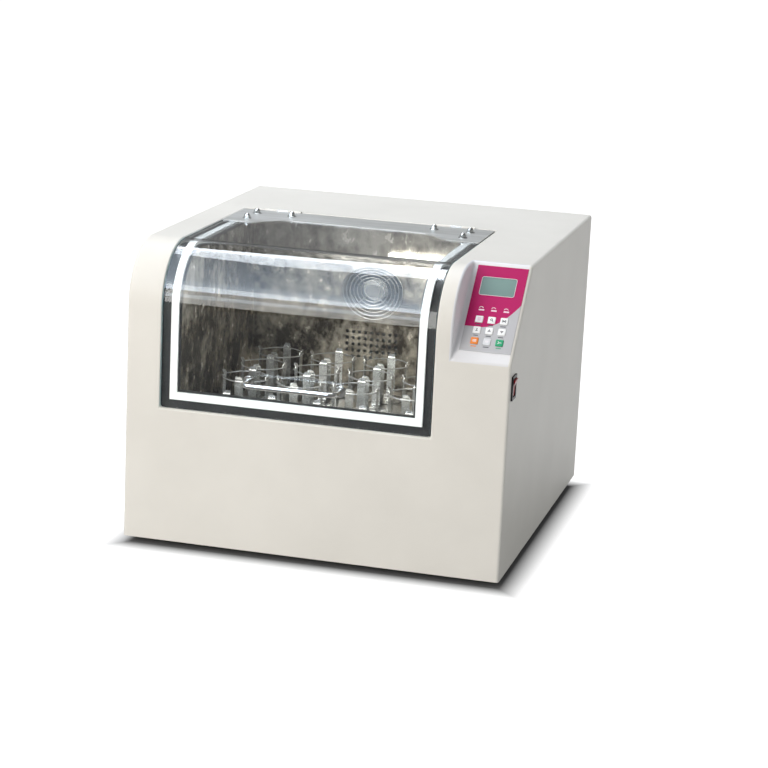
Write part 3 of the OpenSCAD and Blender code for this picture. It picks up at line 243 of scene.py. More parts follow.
class Shader(Nodes):
    """Node tree of one finish, round a principled shader."""

    def __init__(self, name: str) -> None:
        """Makes the material with its shader.

        Args:
            name: Name of the material.
        """
        self.material = bpy.data.materials.new(name)
        self.material.use_nodes = True
        super().__init__(self.material.node_tree)
        self.output = self.add("ShaderNodeOutputMaterial")
        self.surface = self.add("ShaderNodeBsdfPrincipled")
        self.join(self.surface.outputs[0], self.output.inputs["Surface"])

    def set(self, **values: object) -> None:
        """Sets inputs of the principled shader, named with underscores for spaces."""
        for name, value in values.items():
            self.put(self.surface.inputs[name.replace("_", " ")], value)

    def bump(self, height: Socket, depth: float, strength: float = 1.0) -> None:
        """Roughens the surface.

        Args:
            height: Height from 0 to 1.
            depth: What a height of 1 stands for, in metres.
            strength: Share of the bump that shows.
        """
        node = self.add("ShaderNodeBump")
        node.inputs["Strength"].default_value = strength
        node.inputs["Distance"].default_value = depth
        self.join(height, node.inputs["Height"])
        self.join(node.outputs[0], self.surface.inputs["Normal"])


@dataclass(frozen=True)
class Finish(ABC):
    """Surface of one kind, made into a material when first asked for.

    Attributes:
        name: Name of the finish, which its material carries with an ending of its own.
    """

    name: str

    def material(self) -> bpy.types.Material:
        """Gives the material, and makes it once.

        Returns:
            The material.
        """
        name = self.name + "_finish"
        known = bpy.data.materials.get(name)
        if known is not None:
            return known
        shader = Shader(name)
        self.draw(shader)
        return shader.material

    @abstractmethod
    def draw(self, shader: Shader) -> None:
        """Writes the finish into a node tree.

        Args:
            shader: The tree.
        """


@dataclass(frozen=True)
class PowderCoat(Finish):
    """Baked powder coat with a fine peel.

    Attributes:
        colour: Colour of the coat.
        shade: Its duller tone, in faint clouds.
        roughness: Roughness of the coat.
        peel: Depth of the peel, in metres.
        gloss: Strength of its gleam.
    """

    colour: str = "E9E6DF"
    shade: str = "E4E1DA"
    roughness: float = 0.38
    peel: float = 0.00005
    gloss: float = 0.1

    def draw(self, shader: Shader) -> None:
        """Writes clouds, gloss and peel.

        Args:
            shader: The tree.
        """
        clouds = shader.noise(7.0, 4.0, 0.55)
        shader.set(Base_Color=shader.two_tone(clouds, self.colour, self.shade, 0.15))
        grain = shader.noise(900.0, 2.0, 0.5)
        shader.set(Roughness=shader.between(grain, self.roughness - 0.04, self.roughness + 0.05))
        shader.set(Specular_IOR_Level=self.gloss)
        shader.bump(grain, self.peel, 0.5)


@dataclass(frozen=True)
class Steel(Finish):
    """Sheet or turned steel, polished or brushed.

    Attributes:
        colour: Bright tone of the metal.
        shade: Dark tone of its patches.
        roughness: Roughness of the metal.
        patch: Patches in a metre.
        wave: Depth of the sheet's waves, in metres.
        wave_size: Waves in a metre.
        grain: Stretch of the grain along each axis.
        metal: Share that mirrors, the rest being haze.
    """

    colour: str = "C9C7C2"
    shade: str = "A9A7A2"
    roughness: float = 0.24
    patch: float = 30.0
    wave: float = 0.00003
    wave_size: float = 240.0
    grain: Point = (1, 1, 1)
    metal: float = 1.0

    def draw(self, shader: Shader) -> None:
        """Writes patches, a grain in the gloss and the waves.

        Args:
            shader: The tree.
        """
        at = shader.stretch(shader.place(), self.grain)
        patches = shader.noise(self.patch, 5.0, 0.6, at)
        shader.set(Base_Color=shader.two_tone(patches, self.colour, self.shade, 0.14))
        grain = shader.noise(self.wave_size, 3.0, 0.6, at)
        smoother, rougher = self.roughness * 0.75, self.roughness * 1.3
        shader.set(Roughness=shader.span(grain, 0.25, 0.75, smoother, rougher))
        shader.set(Metallic=self.metal)
        shader.bump(grain, self.wave, 0.6)


@dataclass(frozen=True)
class PolishedLiner(Finish):
    """Mirror-polished chamber sheet, with the reflections that its waves break into patches painted into its
    colour, and painted light near the lid.

    Attributes:
        bright: Painted reflection tone, where the sheet would mirror the light.
        dark: Painted reflection tone, where the sheet would mirror shade.
        high: Painted light tone near the lid, standing in for the light from above.
        metal: Share that mirrors, the rest being haze.
        painted_light_from: Height at which the painted light from above starts, and where it is full, in
            metres.
        wave: Depth of the sheet's waves, in metres.
    """

    bright: str = "DDD2BE"
    dark: str = "423A2F"
    high: str = "FFFAF0"
    metal: float = 0.5
    painted_light_from: Flat = (0.31, 0.40)
    wave: float = 0.0011

    def draw(self, shader: Shader) -> None:
        """Writes painted reflections as streaked patches, painted light towards the lid, a haze and the
        sheet's waves.

        Args:
            shader: The tree.
        """
        tall = shader.stretch(shader.place(), (1.0, 1.0, 0.8))
        # Painted reflection: these noises mix the dark and bright tones into streaked patches that stand for
        # what the polished sheet mirrors.
        large = shader.noise(11.0, 6.0, 0.66, tall)
        fine = shader.noise(58.0, 4.0, 0.65, tall)
        large = shader.math("MULTIPLY", large, 0.66)
        both = shader.math("ADD", large, shader.math("MULTIPLY", fine, 0.34))
        patches = shader.span(both, 0.43, 0.57, 0.0, 1.0)
        # Painted light: the colour turns to the brighter high tone towards the lid, as if lit from above.
        _, _, z = shader.axes(shader.place())
        above = shader.span(z, *self.painted_light_from, 0.0, 1.0)
        painted_lit_tone = shader.mix(above, tone(self.bright), tone(self.high))
        shader.set(Base_Color=shader.mix(patches, tone(self.dark), painted_lit_tone), Metallic=self.metal)
        shader.set(Roughness=shader.between(fine, 0.12, 0.3))
        shader.bump(shader.noise(30.0, 3.0, 0.55, tall), self.wave, 0.8)


@dataclass(frozen=True)
class Moulded(Finish):
    """Moulded plastic or rubber.

    Attributes:
        colour: Colour of the plastic.
        shade: Its second tone.
        roughness: Roughness of the skin.
        texture: Depth of the mould's texture, in metres.
        texture_size: Grains of it in a metre.
        coat: Share of a clear coat.
    """

    colour: str = "1C1C1E"
    shade: str = "242426"
    roughness: float = 0.45
    texture: float = 0.00004
    texture_size: float = 1400.0
    coat: float = 0.0

    def draw(self, shader: Shader) -> None:
        """Writes the tones and the mould's texture.

        Args:
            shader: The tree.
        """
        tones = shader.noise(60.0, 4.0, 0.6)
        shader.set(Base_Color=shader.two_tone(tones, self.colour, self.shade))
        texture = shader.noise(self.texture_size, 2.0, 0.5)
        shader.set(Roughness=shader.between(texture, self.roughness - 0.05, self.roughness + 0.05))
        shader.set(Coat_Weight=self.coat, Coat_Roughness=0.12)
        shader.bump(texture, self.texture, 0.5)


@dataclass(frozen=True)
class WheelPlastic(Finish):
    """Moulded fan plastic, white on the hub and smoked on the blades.

    Attributes:
        hub: Colour of the hub.
        blade: Colour of the blades.
        axis: Place of the wheel's axis, across and up, in metres.
        radius: Radius of the hub, in metres.
        blend: Width over which its colour turns into the blades', in metres.
    """

    hub: str = "F3F3F1"
    blade: str = "56606C"
    axis: Flat = (-0.027, 0.335)
    radius: float = 0.0192
    blend: float = 0.0006

    def draw(self, shader: Shader) -> None:
        """Writes the two colours by the distance from the axis.

        Args:
            shader: The tree.
        """
        x, _, z = shader.axes(shader.place())
        across = shader.math("SUBTRACT", x, self.axis[0])
        up = shader.math("SUBTRACT", z, self.axis[1])
        across_square = shader.math("MULTIPLY", across, across)
        square = shader.math("ADD", across_square, shader.math("MULTIPLY", up, up))
        rim = self.radius + self.blend
        outer = shader.span(shader.math("SQRT", square), self.radius, rim, 0.0, 1.0)
        grain = shader.noise(700.0, 2.0, 0.5)
        shader.set(Base_Color=shader.mix(outer, tone(self.hub), tone(self.blade)))
        shader.set(Roughness=shader.between(grain, 0.3, 0.4), Coat_Weight=0.2)
        shader.bump(grain, 0.00003, 0.5)


@dataclass(frozen=True)
class ClearSheet(Finish):
    """Clear acrylic sheet whose cut edges gather a blue-green tint.

    Attributes:
        face: Tint of the faces.
        smear: Tint of the faces where they are less clean.
        edge: Tint of the cut edges.
        shadow: Share of the light that passes into its shadow, by colour.
        bending: Index of refraction.
    """

    face: str = "FDFEFE"
    smear: str = "F8FBFC"
    edge: str = "4F93A6"
    shadow: Quad = (0.93, 0.95, 0.96, 1.0)
    bending: float = 1.49

    def draw(self, shader: Shader) -> None:
        """Writes a clear body that lets the lamps through.

        Args:
            shader: The tree.
        """
        across, _, _ = shader.axes(shader.add("ShaderNodeTexCoord").outputs["Normal"])
        side = shader.span(shader.math("ABSOLUTE", across), 0.6, 0.8, 0, 1)
        smear = shader.noise(14.0, 3.0, 0.5)
        faces = shader.two_tone(smear, self.face, self.smear)
        shader.set(Base_Color=shader.mix(side, faces, tone(self.edge)))
        shader.set(IOR=self.bending, Transmission_Weight=1.0)
        shader.set(Roughness=shader.between(smear, 0.0, 0.03))
        clear = shader.add("ShaderNodeBsdfTransparent")
        clear.inputs[0].default_value = self.shadow
        path = shader.add("ShaderNodeLightPath")
        pick = shader.add("ShaderNodeMixShader")
        shader.join(path.outputs["Is Shadow Ray"], pick.inputs[0])
        shader.join(shader.surface.outputs[0], pick.inputs[1])
        shader.join(clear.outputs[0], pick.inputs[2])
        shader.join(pick.outputs[0], shader.output.inputs["Surface"])


@dataclass(frozen=True)
class LampGlass(Finish):
    """Frosted tube that glows a little.

    Attributes:
        glow: Strength of its own light.
        colour: Colour of the glass.
        shade: Its second tone.
        light: Colour of its light.
    """

    glow: float = 1.6
    colour: str = "FBFAF2"
    shade: str = "F1F0E8"
    light: str = "FFFBEF"

    def draw(self, shader: Shader) -> None:
        """Writes a milky body with a soft glow.

        Args:
            shader: The tree.
        """
        milk = shader.noise(90.0, 2.0, 0.5)
        shader.set(Base_Color=shader.mix(milk, tone(self.colour), tone(self.shade)), Roughness=0.3)
        shader.set(Emission_Color=tone(self.light), Emission_Strength=self.glow)


@dataclass(frozen=True)
class PanelPrint(Finish):
    """Printed overlay: magenta above, silver below, parted by one sweeping curve.

    Attributes:
        left: Place of the overlay's left edge, in metres.
        foot: Depth and height of the slope's front edge, in metres.
        angle: Slope of the panel.
        low: Distance up the slope to the overlay, in metres.
        rise: Height of the curve's level part on the overlay, in millimetres.
        turn: Where the curve leaves its level part, in millimetres.
        sweep: How fast the curve rises.
        silver: Tones of the lower part.
        magenta: Tones of the upper part.
    """

    left: float = 0.2015
    foot: Flat = (-0.285, 0.328)
    angle: float = math.atan2(0.122, 0.117)
    low: float = 0.018
    rise: float = 40.5
    turn: float = 24.0
    sweep: float = 0.0165
    silver: tuple[str, str] = ("B6B6B9", "BDBDC0")
    magenta: tuple[str, str] = ("AE0F5A", "B51761")

    def draw(self, shader: Shader) -> None:
        """Writes the two colours and the film's fine texture.

        Args:
            shader: The tree.
        """
        x, y, z = shader.axes(shader.place())
        across = shader.math("MULTIPLY", shader.math("SUBTRACT", x, self.left), 1000.0)
        deep = shader.math("SUBTRACT", y, self.foot[0])
        deep = shader.math("MULTIPLY", deep, 1000.0 * math.cos(self.angle))
        high = shader.math("SUBTRACT", z, self.foot[1])
        high = shader.math("MULTIPLY", high, 1000.0 * math.sin(self.angle))
        up = shader.math("SUBTRACT", shader.math("ADD", deep, high), self.low * 1000.0)
        past = shader.math("MAXIMUM", shader.math("SUBTRACT", across, self.turn), 0.0)
        curve = shader.math("MULTIPLY", shader.math("MULTIPLY", past, past), self.sweep)
        curve = shader.math("ADD", curve, self.rise)
        above = shader.span(shader.math("SUBTRACT", up, curve), -0.12, 0.12, 0.0, 1.0)
        film = shader.noise(1500.0, 2.0, 0.5)
        silver = shader.mix(film, *map(tone, self.silver))
        magenta = shader.mix(film, *map(tone, self.magenta))
        shader.set(Base_Color=shader.mix(above, silver, magenta), Specular_IOR_Level=0.2)
        shader.set(Roughness=shader.between(film, 0.4, 0.5))
        shader.bump(film, 0.00003, 0.4)


@dataclass(frozen=True)
class DisplayGlass(Finish):
    """Grey-green liquid crystal behind its window.

    Attributes:
        middle: Place of the display's middle in the row frame.
        crystal: Tones of the crystal.
        rim: Its tone at the rim.
    """

    middle: Point = (0.237, -0.18385, 0.43356)
    crystal: tuple[str, str] = ("7A9690", "748F89")
    rim: str = "6C8680"

    def draw(self, shader: Shader) -> None:
        """Writes the crystal's tone, darker towards its rim, under a gloss.

        Args:
            shader: The tree.
        """
        offset = shader.add("ShaderNodeVectorMath")
        offset.operation = "DISTANCE"
        shader.join(shader.place(), offset.inputs[0])
        offset.inputs[1].default_value = self.middle
        rim = shader.span(offset.outputs["Value"], 0.012, 0.034, 0.0, 1.0)
        crystal = shader.mix(shader.noise(2400.0, 1.0), *map(tone, self.crystal))
        shader.set(Base_Color=shader.mix(rim, crystal, tone(self.rim)))
        shader.set(Coat_Weight=0.4, Coat_Roughness=0.08)
        shader.set(Roughness=shader.span(rim, 0.0, 1.0, 0.38, 0.46))


@dataclass(frozen=True)
class Foam(Finish):
    """Cut insulation foam.

    Attributes:
        colour: Colour of the cells.
        wall: Colour of their walls.
    """

    colour: str = "E3D5A6"
    wall: str = "C4B47F"

    def draw(self, shader: Shader) -> None:
        """Writes open cells.

        Args:
            shader: The tree.
        """
        cells = shader.add("ShaderNodeTexVoronoi")
        shader.join(shader.place(), cells.inputs["Vector"])
        cells.inputs["Scale"].default_value = 420.0
        deep = cells.outputs["Distance"]
        shader.set(Base_Color=shader.mix(deep, tone(self.colour), tone(self.wall)), Roughness=0.95)
        shader.bump(deep, 0.0006, 0.7)


@dataclass(frozen=True)
class CircuitBoard(Finish):
    """Lacquered board with copper tracks under the lacquer.

    Attributes:
        board: Colour between the tracks.
        track: Colour of the tracks.
    """

    board: str = "1F5B3C"
    track: str = "3F8A5A"

    def draw(self, shader: Shader) -> None:
        """Writes tracks as thin bands of a stretched noise.

        Args:
            shader: The tree.
        """
        along = shader.stretch(shader.place(), (1.0, 0.2, 0.2))
        lines = shader.noise(110.0, 1.0, 0.4, along)
        band = shader.math("ABSOLUTE", shader.math("SUBTRACT", lines, 0.5))
        track = shader.span(band, 0.012, 0.02, 1.0, 0.0)
        shader.set(Base_Color=shader.mix(track, tone(self.board), tone(self.track)))
        shader.set(Coat_Weight=0.6, Coat_Roughness=0.1)
        shader.set(Roughness=shader.span(track, 0.0, 1.0, 0.45, 0.35))
        shader.bump(track, 0.00005, 0.5)


class Finishes:
    """The finishes of the shaker, by what they are on."""

    SHELL = PowderCoat("shell_paint")
    RECESS = PowderCoat("recess_paint", "EAEAEC", "E5E5E8", 0.42)
    REAR = PowderCoat("rear_paint", "DEDCD6", "D8D6D0", 0.5, 0.00008)
    PAN = Steel("galvanised_pan", "A9ACAC", "8B8E8F", 0.42, 55.0, 0.00002, 500.0)
    FOOT = Moulded("foot_rubber", "1D1D1D", "262625", 0.75, 0.0001, 900.0)
    SCREW = Steel("screw_steel", "CFCFCC", "B4B4B0", 0.26, 200.0, 0.00001, 1500.0)
    BAND = Moulded("window_band", "161718", "1E1F1F", 0.38, 0.00003, 500.0)
    LINER = PolishedLiner("polished_liner")
    FOAM = Foam("insulation_foam")
    GUARD = Steel("guard_wire", "D9D9D7", "C2C2C0", 0.22, 120.0, 0.00001, 1500.0)
    DUCT = Steel("duct_sheet", "AEB0B1", "909293", 0.36, 60.0, 0.00003, 300.0)
    MOTOR = Moulded("motor_enamel", "34373A", "3D4043", 0.42, 0.00006, 700.0)
    HEATER = Steel("heater_sheath", "7F776C", "5A5249", 0.44, 90.0, 0.00004, 800.0)
    PROBE = Moulded("probe_white", "EFEFEA", "E7E7E2", 0.35, 0.00002, 900.0, 0.2)
    LAMP = LampGlass("lamp_glass", 4.5)
    IRON = Steel("drive_iron", "6B7176", "4E5458", 0.5, 70.0, 0.00012, 420.0)
    BELT = Moulded("belt_rubber", "191919", "222221", 0.7, 0.0001, 1100.0)
    BOARD = CircuitBoard("circuit_board")
    DISPLAY = DisplayGlass("display_glass")
    PRINT = PanelPrint("panel_print")
    INDICATOR = Moulded("indicator_lens", "F5DCE8", "F0D2E1", 0.25, 0.00001, 900.0, 0.6)
    INK = Moulded("caption_ink", "3B3C40", "45464A", 0.5, 0.00001, 2000.0)
    WHITE_INK = Moulded("white_ink", "F6F0F3", "EFE9EC", 0.45, 0.00001, 2000.0)
    BLACK = Moulded("black_plastic", "17171A", "202023", 0.42, 0.00003, 1300.0)
    HINGE = Steel("hinge_steel", "CCCDCC", "B2B3B2", 0.2, 60.0, 0.00001, 900.0, (0.2, 1, 1))
    STRIP = Steel("strip_steel", "D2D2D0", "B4B4B0", 0.36, 34.0, 0.00002, 700.0, (0.12, 1, 1), 0.35)
    CLEAR = ClearSheet("clear_sheet")
    SEAL = Moulded("white_silicone", "F4F4F1", "ECECE8", 0.5, 0.00003, 700.0)
    HANDLE = Steel("handle_steel", "E4E3E0", "CFCECA", 0.14, 40.0, 0.00001, 900.0, (0.2, 1, 1))
    SHAFT = Steel("shaft_steel", "C4C8CB", "A6AAAD", 0.22, 90.0, 0.00001, 1500.0, (1, 1, 0.1))
    PULLEY = Steel("pulley_metal", "A5ABAF", "898F93", 0.32, 120.0, 0.00002, 1200.0, (1, 1, 0.2))
    TRAY = Steel("tray_steel", "A9A8A5", "807F7C", 0.34, 300.0, 0.00016, 420.0)
    CROSSBAR = Steel("platform_bars", "AFB1AF", "939593", 0.34, 80.0, 0.00003, 500.0)
    BEARING = Steel("bearing_steel", "8D9194", "6E7275", 0.3, 90.0, 0.00002, 900.0)
    CLAMP = Steel("clamp_steel", "ECECE9", "CFCFCB", 0.18, 70.0, 0.00003, 500.0, metal=0.75)
    SPRING = Steel("spring_wire", "F0EFEC", "DAD9D5", 0.16, 160.0, 0.00001, 1500.0, metal=0.7)
    FAN = WheelPlastic("fan_plastic")
    ROCKER = Moulded("rocker_red", "A3181C", "8C1216", 0.36, 0.00002, 900.0, 0.1)
    BRASS = Steel("blade_brass", "C9B27A", "A8915C", 0.25, 200.0, 0.00001, 1500.0)
    KEYS = {
        "white": Moulded("key_white", "F5F5F5", "EEEEEE", 0.4, 0.00002, 1500.0, 0.2),
        "orange": Moulded("key_orange", "EE8A2B", "E58025", 0.4, 0.00002, 1500.0, 0.2),
        "grey": Moulded("key_grey", "DEDFE2", "D5D6D9", 0.4, 0.00002, 1500.0, 0.2),
        "green": Moulded("key_green", "1F9E6C", "199362", 0.4, 0.00002, 1500.0, 0.2),
    }


class Draft:
    """Mesh under construction, in the row frame."""

    def __init__(self) -> None:
        """Starts empty."""
        self.mesh = bmesh.new()
        self.weights = self.mesh.edges.layers.float.new("bevel_weight_edge")

    def points(self, places: Iterable[Sequence[float]], at: Matrix | None = None) -> list[Corner]:
        """Adds points at some places, all moved alike."""
        move = at or Matrix.Identity(4)
        return [self.mesh.verts.new(move @ Vector(place)) for place in places]

    def face(self, corners: Sequence[Corner]) -> bmesh.types.BMFace:
        """Adds one face."""
        return self.mesh.faces.new(corners)

    def skin(self, rings: Sequence[Sequence[Corner]], ends: bool = True) -> None:
        """Joins rings of points by four-cornered faces.

        Args:
            rings: The rings, in order.
            ends: Whether the first and last rings are filled.
        """
        for near, far in zip(rings, rings[1:]):
            for j in range(len(near)):
                k = (j + 1) % len(near)
                self.face([near[j], near[k], far[k], far[j]])
        if ends:
            self.face(rings[0][::-1])
            self.face(rings[-1])

    def prism(self, outline: Sequence[Flat], low: float, high: float, at: Matrix | None = None) -> None:
        """Adds an outline in the plane with a thickness from one height to another."""
        rings = [self.points([(x, y, z) for x, y in outline], at) for z in (low, high)]
        self.skin(rings)

    def tube(
        self, path: Sequence[Point], radius: float, sides: int, closed: bool, at: Matrix | None = None
    ) -> None:
        """Adds a round wire along a path.

        Args:
            path: Points along its middle.
            radius: Radius of the wire.
            sides: Corners of its section.
            closed: Whether the path meets itself.
            at: What it is moved by, or nothing.
        """
        spots = [Vector(p) for p in path]
        rings = []
        side = None
        for i, spot in enumerate(spots):
            before = spots[i - 1] if closed or i else spot
            after = spots[(i + 1) % len(spots)] if closed or i + 1 < len(spots) else spot
            along = (after - before).normalized()
            if side is None:
                side = along.orthogonal().normalized()
            side = (side - along * side.dot(along)).normalized()
            other = along.cross(side)
            ring = []
            for j in range(sides):
                turn = FULL_TURN * j / sides
                ring.append(spot + radius * (math.cos(turn) * side + math.sin(turn) * other))
            rings.append(self.points(ring, at))
        if closed:
            first, last = rings[0], rings[-1]
            shift = min(range(sides), key=lambda s: (first[s].co - last[0].co).length)
            joined = [first[(j + shift) % sides] for j in range(sides)]
            self.skin(rings, False)
            for j in range(sides):
                k = (j + 1) % sides
                self.face([last[j], last[k], joined[k], joined[j]])
        else:
            self.skin(rings)

    def lathe(self, profile: Sequence[Flat], steps: int, at: Matrix | None = None) -> None:
        """Turns a profile about the Z axis.

        Args:
            profile: Radius and height of each point, from the bottom to the top.
            steps: Corners of a turn.
            at: What it is moved by, or nothing.
        """
        rings = []
        for radius, height in profile:
            turns = [FULL_TURN * i / steps for i in range(steps)]
            ring = [(radius * math.cos(turn), radius * math.sin(turn), height) for turn in turns]
            rings.append(self.points(ring, at))
        self.skin(rings)

    def soften(self, width: float, segments: int = 2, angle: float = 40.0) -> None:
        """Rounds every sharp edge.

        Args:
            width: Width of the rounding.
            segments: Faces across it.
            angle: Least angle of an edge that counts as sharp, in degrees.
        """
        self.mesh.normal_update()
        sharp = [
            edge
            for edge in self.mesh.edges
            if len(edge.link_faces) == 2 and edge.calc_face_angle(0.0) > math.radians(angle)
        ]
        bmesh.ops.bevel(
            self.mesh, geom=sharp, offset=width, segments=segments, profile=0.5, affect="EDGES",
            clamp_overlap=True,
        )

    def weigh(self, share: float, chosen: Callable[[Vector, Vector], bool]) -> None:
        """Marks edges that a later bevel rounds.

        Args:
            share: Share of the bevel's width.
            chosen: Says from an edge's ends whether it counts.
        """
        for edge in self.mesh.edges:
            if chosen(edge.verts[0].co, edge.verts[1].co):
                edge[self.weights] = share

    def bake(self, name: str) -> Mesh:
        """Ends the draft.

        Args:
            name: Name of the mesh.

        Returns:
            The mesh, with its faces looking outwards.
        """
        bmesh.ops.recalc_face_normals(self.mesh, faces=self.mesh.faces)
        made = bpy.data.meshes.new(name)
        self.mesh.to_mesh(made)
        self.mesh.free()
        return made


def rounded(half_width: float, half_height: float, radius: float, steps: int) -> list[Flat]:
    """Draws a rectangle with round corners about the origin.

    Args:
        half_width: Half its width.
        half_height: Half its height.
        radius: Radius of its corners.
        steps: Lines round a corner.

    Returns:
        Its points, against the clock.
    """
    outline = []
    for side, end, start in ((1, 1, 0), (-1, 1, 90), (-1, -1, 180), (1, -1, 270)):
        for i in range(steps + 1):
            turn = math.radians(start + 90 / steps * i)
            x = side * (half_width - radius) + radius * math.cos(turn)
            y = end * (half_height - radius) + radius * math.sin(turn)
            outline.append((x, y))
    return outline


def smooth(mesh: Mesh, angle: float = SOFT_ANGLE) -> None:
    """Shades a mesh smooth between its sharp edges.

    Args:
        mesh: The mesh.
        angle: Least angle of a sharp edge, in degrees.
    """
    mesh.shade_smooth()
    mesh.set_sharp_from_angle(angle=math.radians(angle))


def add_piece(
    name: str,
    shape: Draft | Mesh,
    body: Body | str,
    finish: Finish,
    stands_for: Sequence[str] = (),
    angle: float = 0.0,
) -> bpy.types.Object:
    """Puts a shape on its body.

    Args:
        name: Name of the piece.
        shape: Its draft or mesh, in the row frame.
        body: The body that it rides on.
        finish: Its finish.
        stands_for: CAD nodes that it replaces.
        angle: Least angle of a sharp edge, in degrees, or 0 to leave the shading.

    Returns:
        The piece.
    """
    mesh = shape.bake(name) if isinstance(shape, Draft) else shape
    if angle:
        smooth(mesh, angle)
    piece = bpy.data.objects.new(name, mesh)
    bpy.context.scene.collection.objects.link(piece)
    mesh.materials.clear()
    mesh.materials.append(finish.material())
    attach(piece, body.value if isinstance(body, Body) else body)
    if stands_for:
        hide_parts(*stands_for)
    LOG.info("%s: %d faces on %s", name, len(mesh.polygons), body)
    return piece


def even_normals(piece: bpy.types.Object) -> bpy.types.Object:
    """Lets large faces lead the shading round their soft edges.

    Args:
        piece: The piece.

    Returns:
        The same piece.
    """
    change = piece.modifiers.new("even_normals", "WEIGHTED_NORMAL")
    change.keep_sharp = True
    return piece


def dress(finish: Finish, *nodes: str) -> None:
    """Gives CAD nodes a finish.

    Args:
        finish: The finish.
        *nodes: Their names.
    """
    for name in nodes:
        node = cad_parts[name]
        if not node.material_slots:
            node.data.materials.append(None)
        for slot in node.material_slots:
            slot.material = finish.material()
        LOG.info("%s: dressed in %s", name, finish.name)


def soft_copy(
    node: str, width: float, body: Body | str, finish: Finish, segments: int = 2
) -> bpy.types.Object:
    """Stands a copy with rounded edges for a CAD node.

    Args:
        node: Name of the node.
        width: Width of the rounding.
        body: The body that it rides on.
        finish: Its finish.
        segments: Faces across the rounding.

    Returns:
        The copy.
    """
    draft = Draft()
    draft.mesh.from_mesh(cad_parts[node].data)
    bmesh.ops.remove_doubles(draft.mesh, verts=draft.mesh.verts, dist=SAME)
    bmesh.ops.dissolve_limit(
        draft.mesh, angle_limit=math.radians(0.4), verts=draft.mesh.verts, edges=draft.mesh.edges
    )
    draft.soften(width, segments)
    mesh = draft.bake(node + "_soft")
    smooth(mesh)
    return even_normals(add_piece(node + "_soft", mesh, body, finish, [node]))


def carried(source: Mesh, chosen: Callable[[Vector], bool], name: str) -> Mesh:
    """Takes some faces of a mesh with their shading.

    Args:
        source: The whole mesh.
        chosen: Says from a face's middle whether it is taken.
        name: Name of the new mesh.

    Returns:
        The new mesh.
    """
    shading = [corner.vector.copy() for corner in source.corner_normals]
    known: dict[int, int] = {}
    places, faces, normals = [], [], []
    for face in source.polygons:
        if not chosen(face.center):
            continue
        corners = []
        for loop in face.loop_indices:
            vertex = source.loops[loop].vertex_index
            if vertex not in known:
                known[vertex] = len(places)
                places.append(source.vertices[vertex].co.copy())
            corners.append(known[vertex])
            normals.append(shading[loop])
        faces.append(corners)
    made = bpy.data.meshes.new(name)
    made.from_pydata(places, [], faces)
    made.update()
    made.shade_smooth()
    made.normals_split_custom_set(normals)
    return made


def modified(mesh: Mesh, *changes: tuple[str, dict[str, object]]) -> Mesh:
    """Runs modifiers on a mesh.

    Args:
        mesh: The mesh.
        *changes: Kind of each modifier, and its settings.

    Returns:
        The changed mesh.
    """
    holder = bpy.data.objects.new("holder", mesh)
    bpy.context.scene.collection.objects.link(holder)
    for number, (kind, settings) in enumerate(changes):
        change = holder.modifiers.new(f"change_{number}", kind)
        for name, value in settings.items():
            setattr(change, name, value)
    view = bpy.context.evaluated_depsgraph_get()
    made = bpy.data.meshes.new_from_object(holder.evaluated_get(view))
    bpy.data.objects.remove(holder)
    return made


@dataclass
class Slope:
    """Plane of the control panel.

    Attributes:
        foot_y: Depth of its front edge.
        foot_z: Height of its front edge.
        run: Its depth.
        rise: Its height.
    """

    foot_y: float = -0.285
    foot_z: float = 0.328
    run: float = 0.117
    rise: float = 0.122

    @property
    def angle(self) -> float:
        """Gives its slope."""
        return math.atan2(self.rise, self.run)

    @property
    def length(self) -> float:
        """Gives its length."""
        return math.hypot(self.rise, self.run)

    def matrix(self, x: float = 0.0, up: float = 0.0, out: float = 0.0) -> Matrix:
        """Gives what moves a piece from the flat onto a place across, up and out of the slope."""
        base = Matrix.Translation((0.0, self.foot_y, self.foot_z)) @ Matrix.Rotation(self.angle, 4, "X")
        return base @ Matrix.Translation((x, up, out))


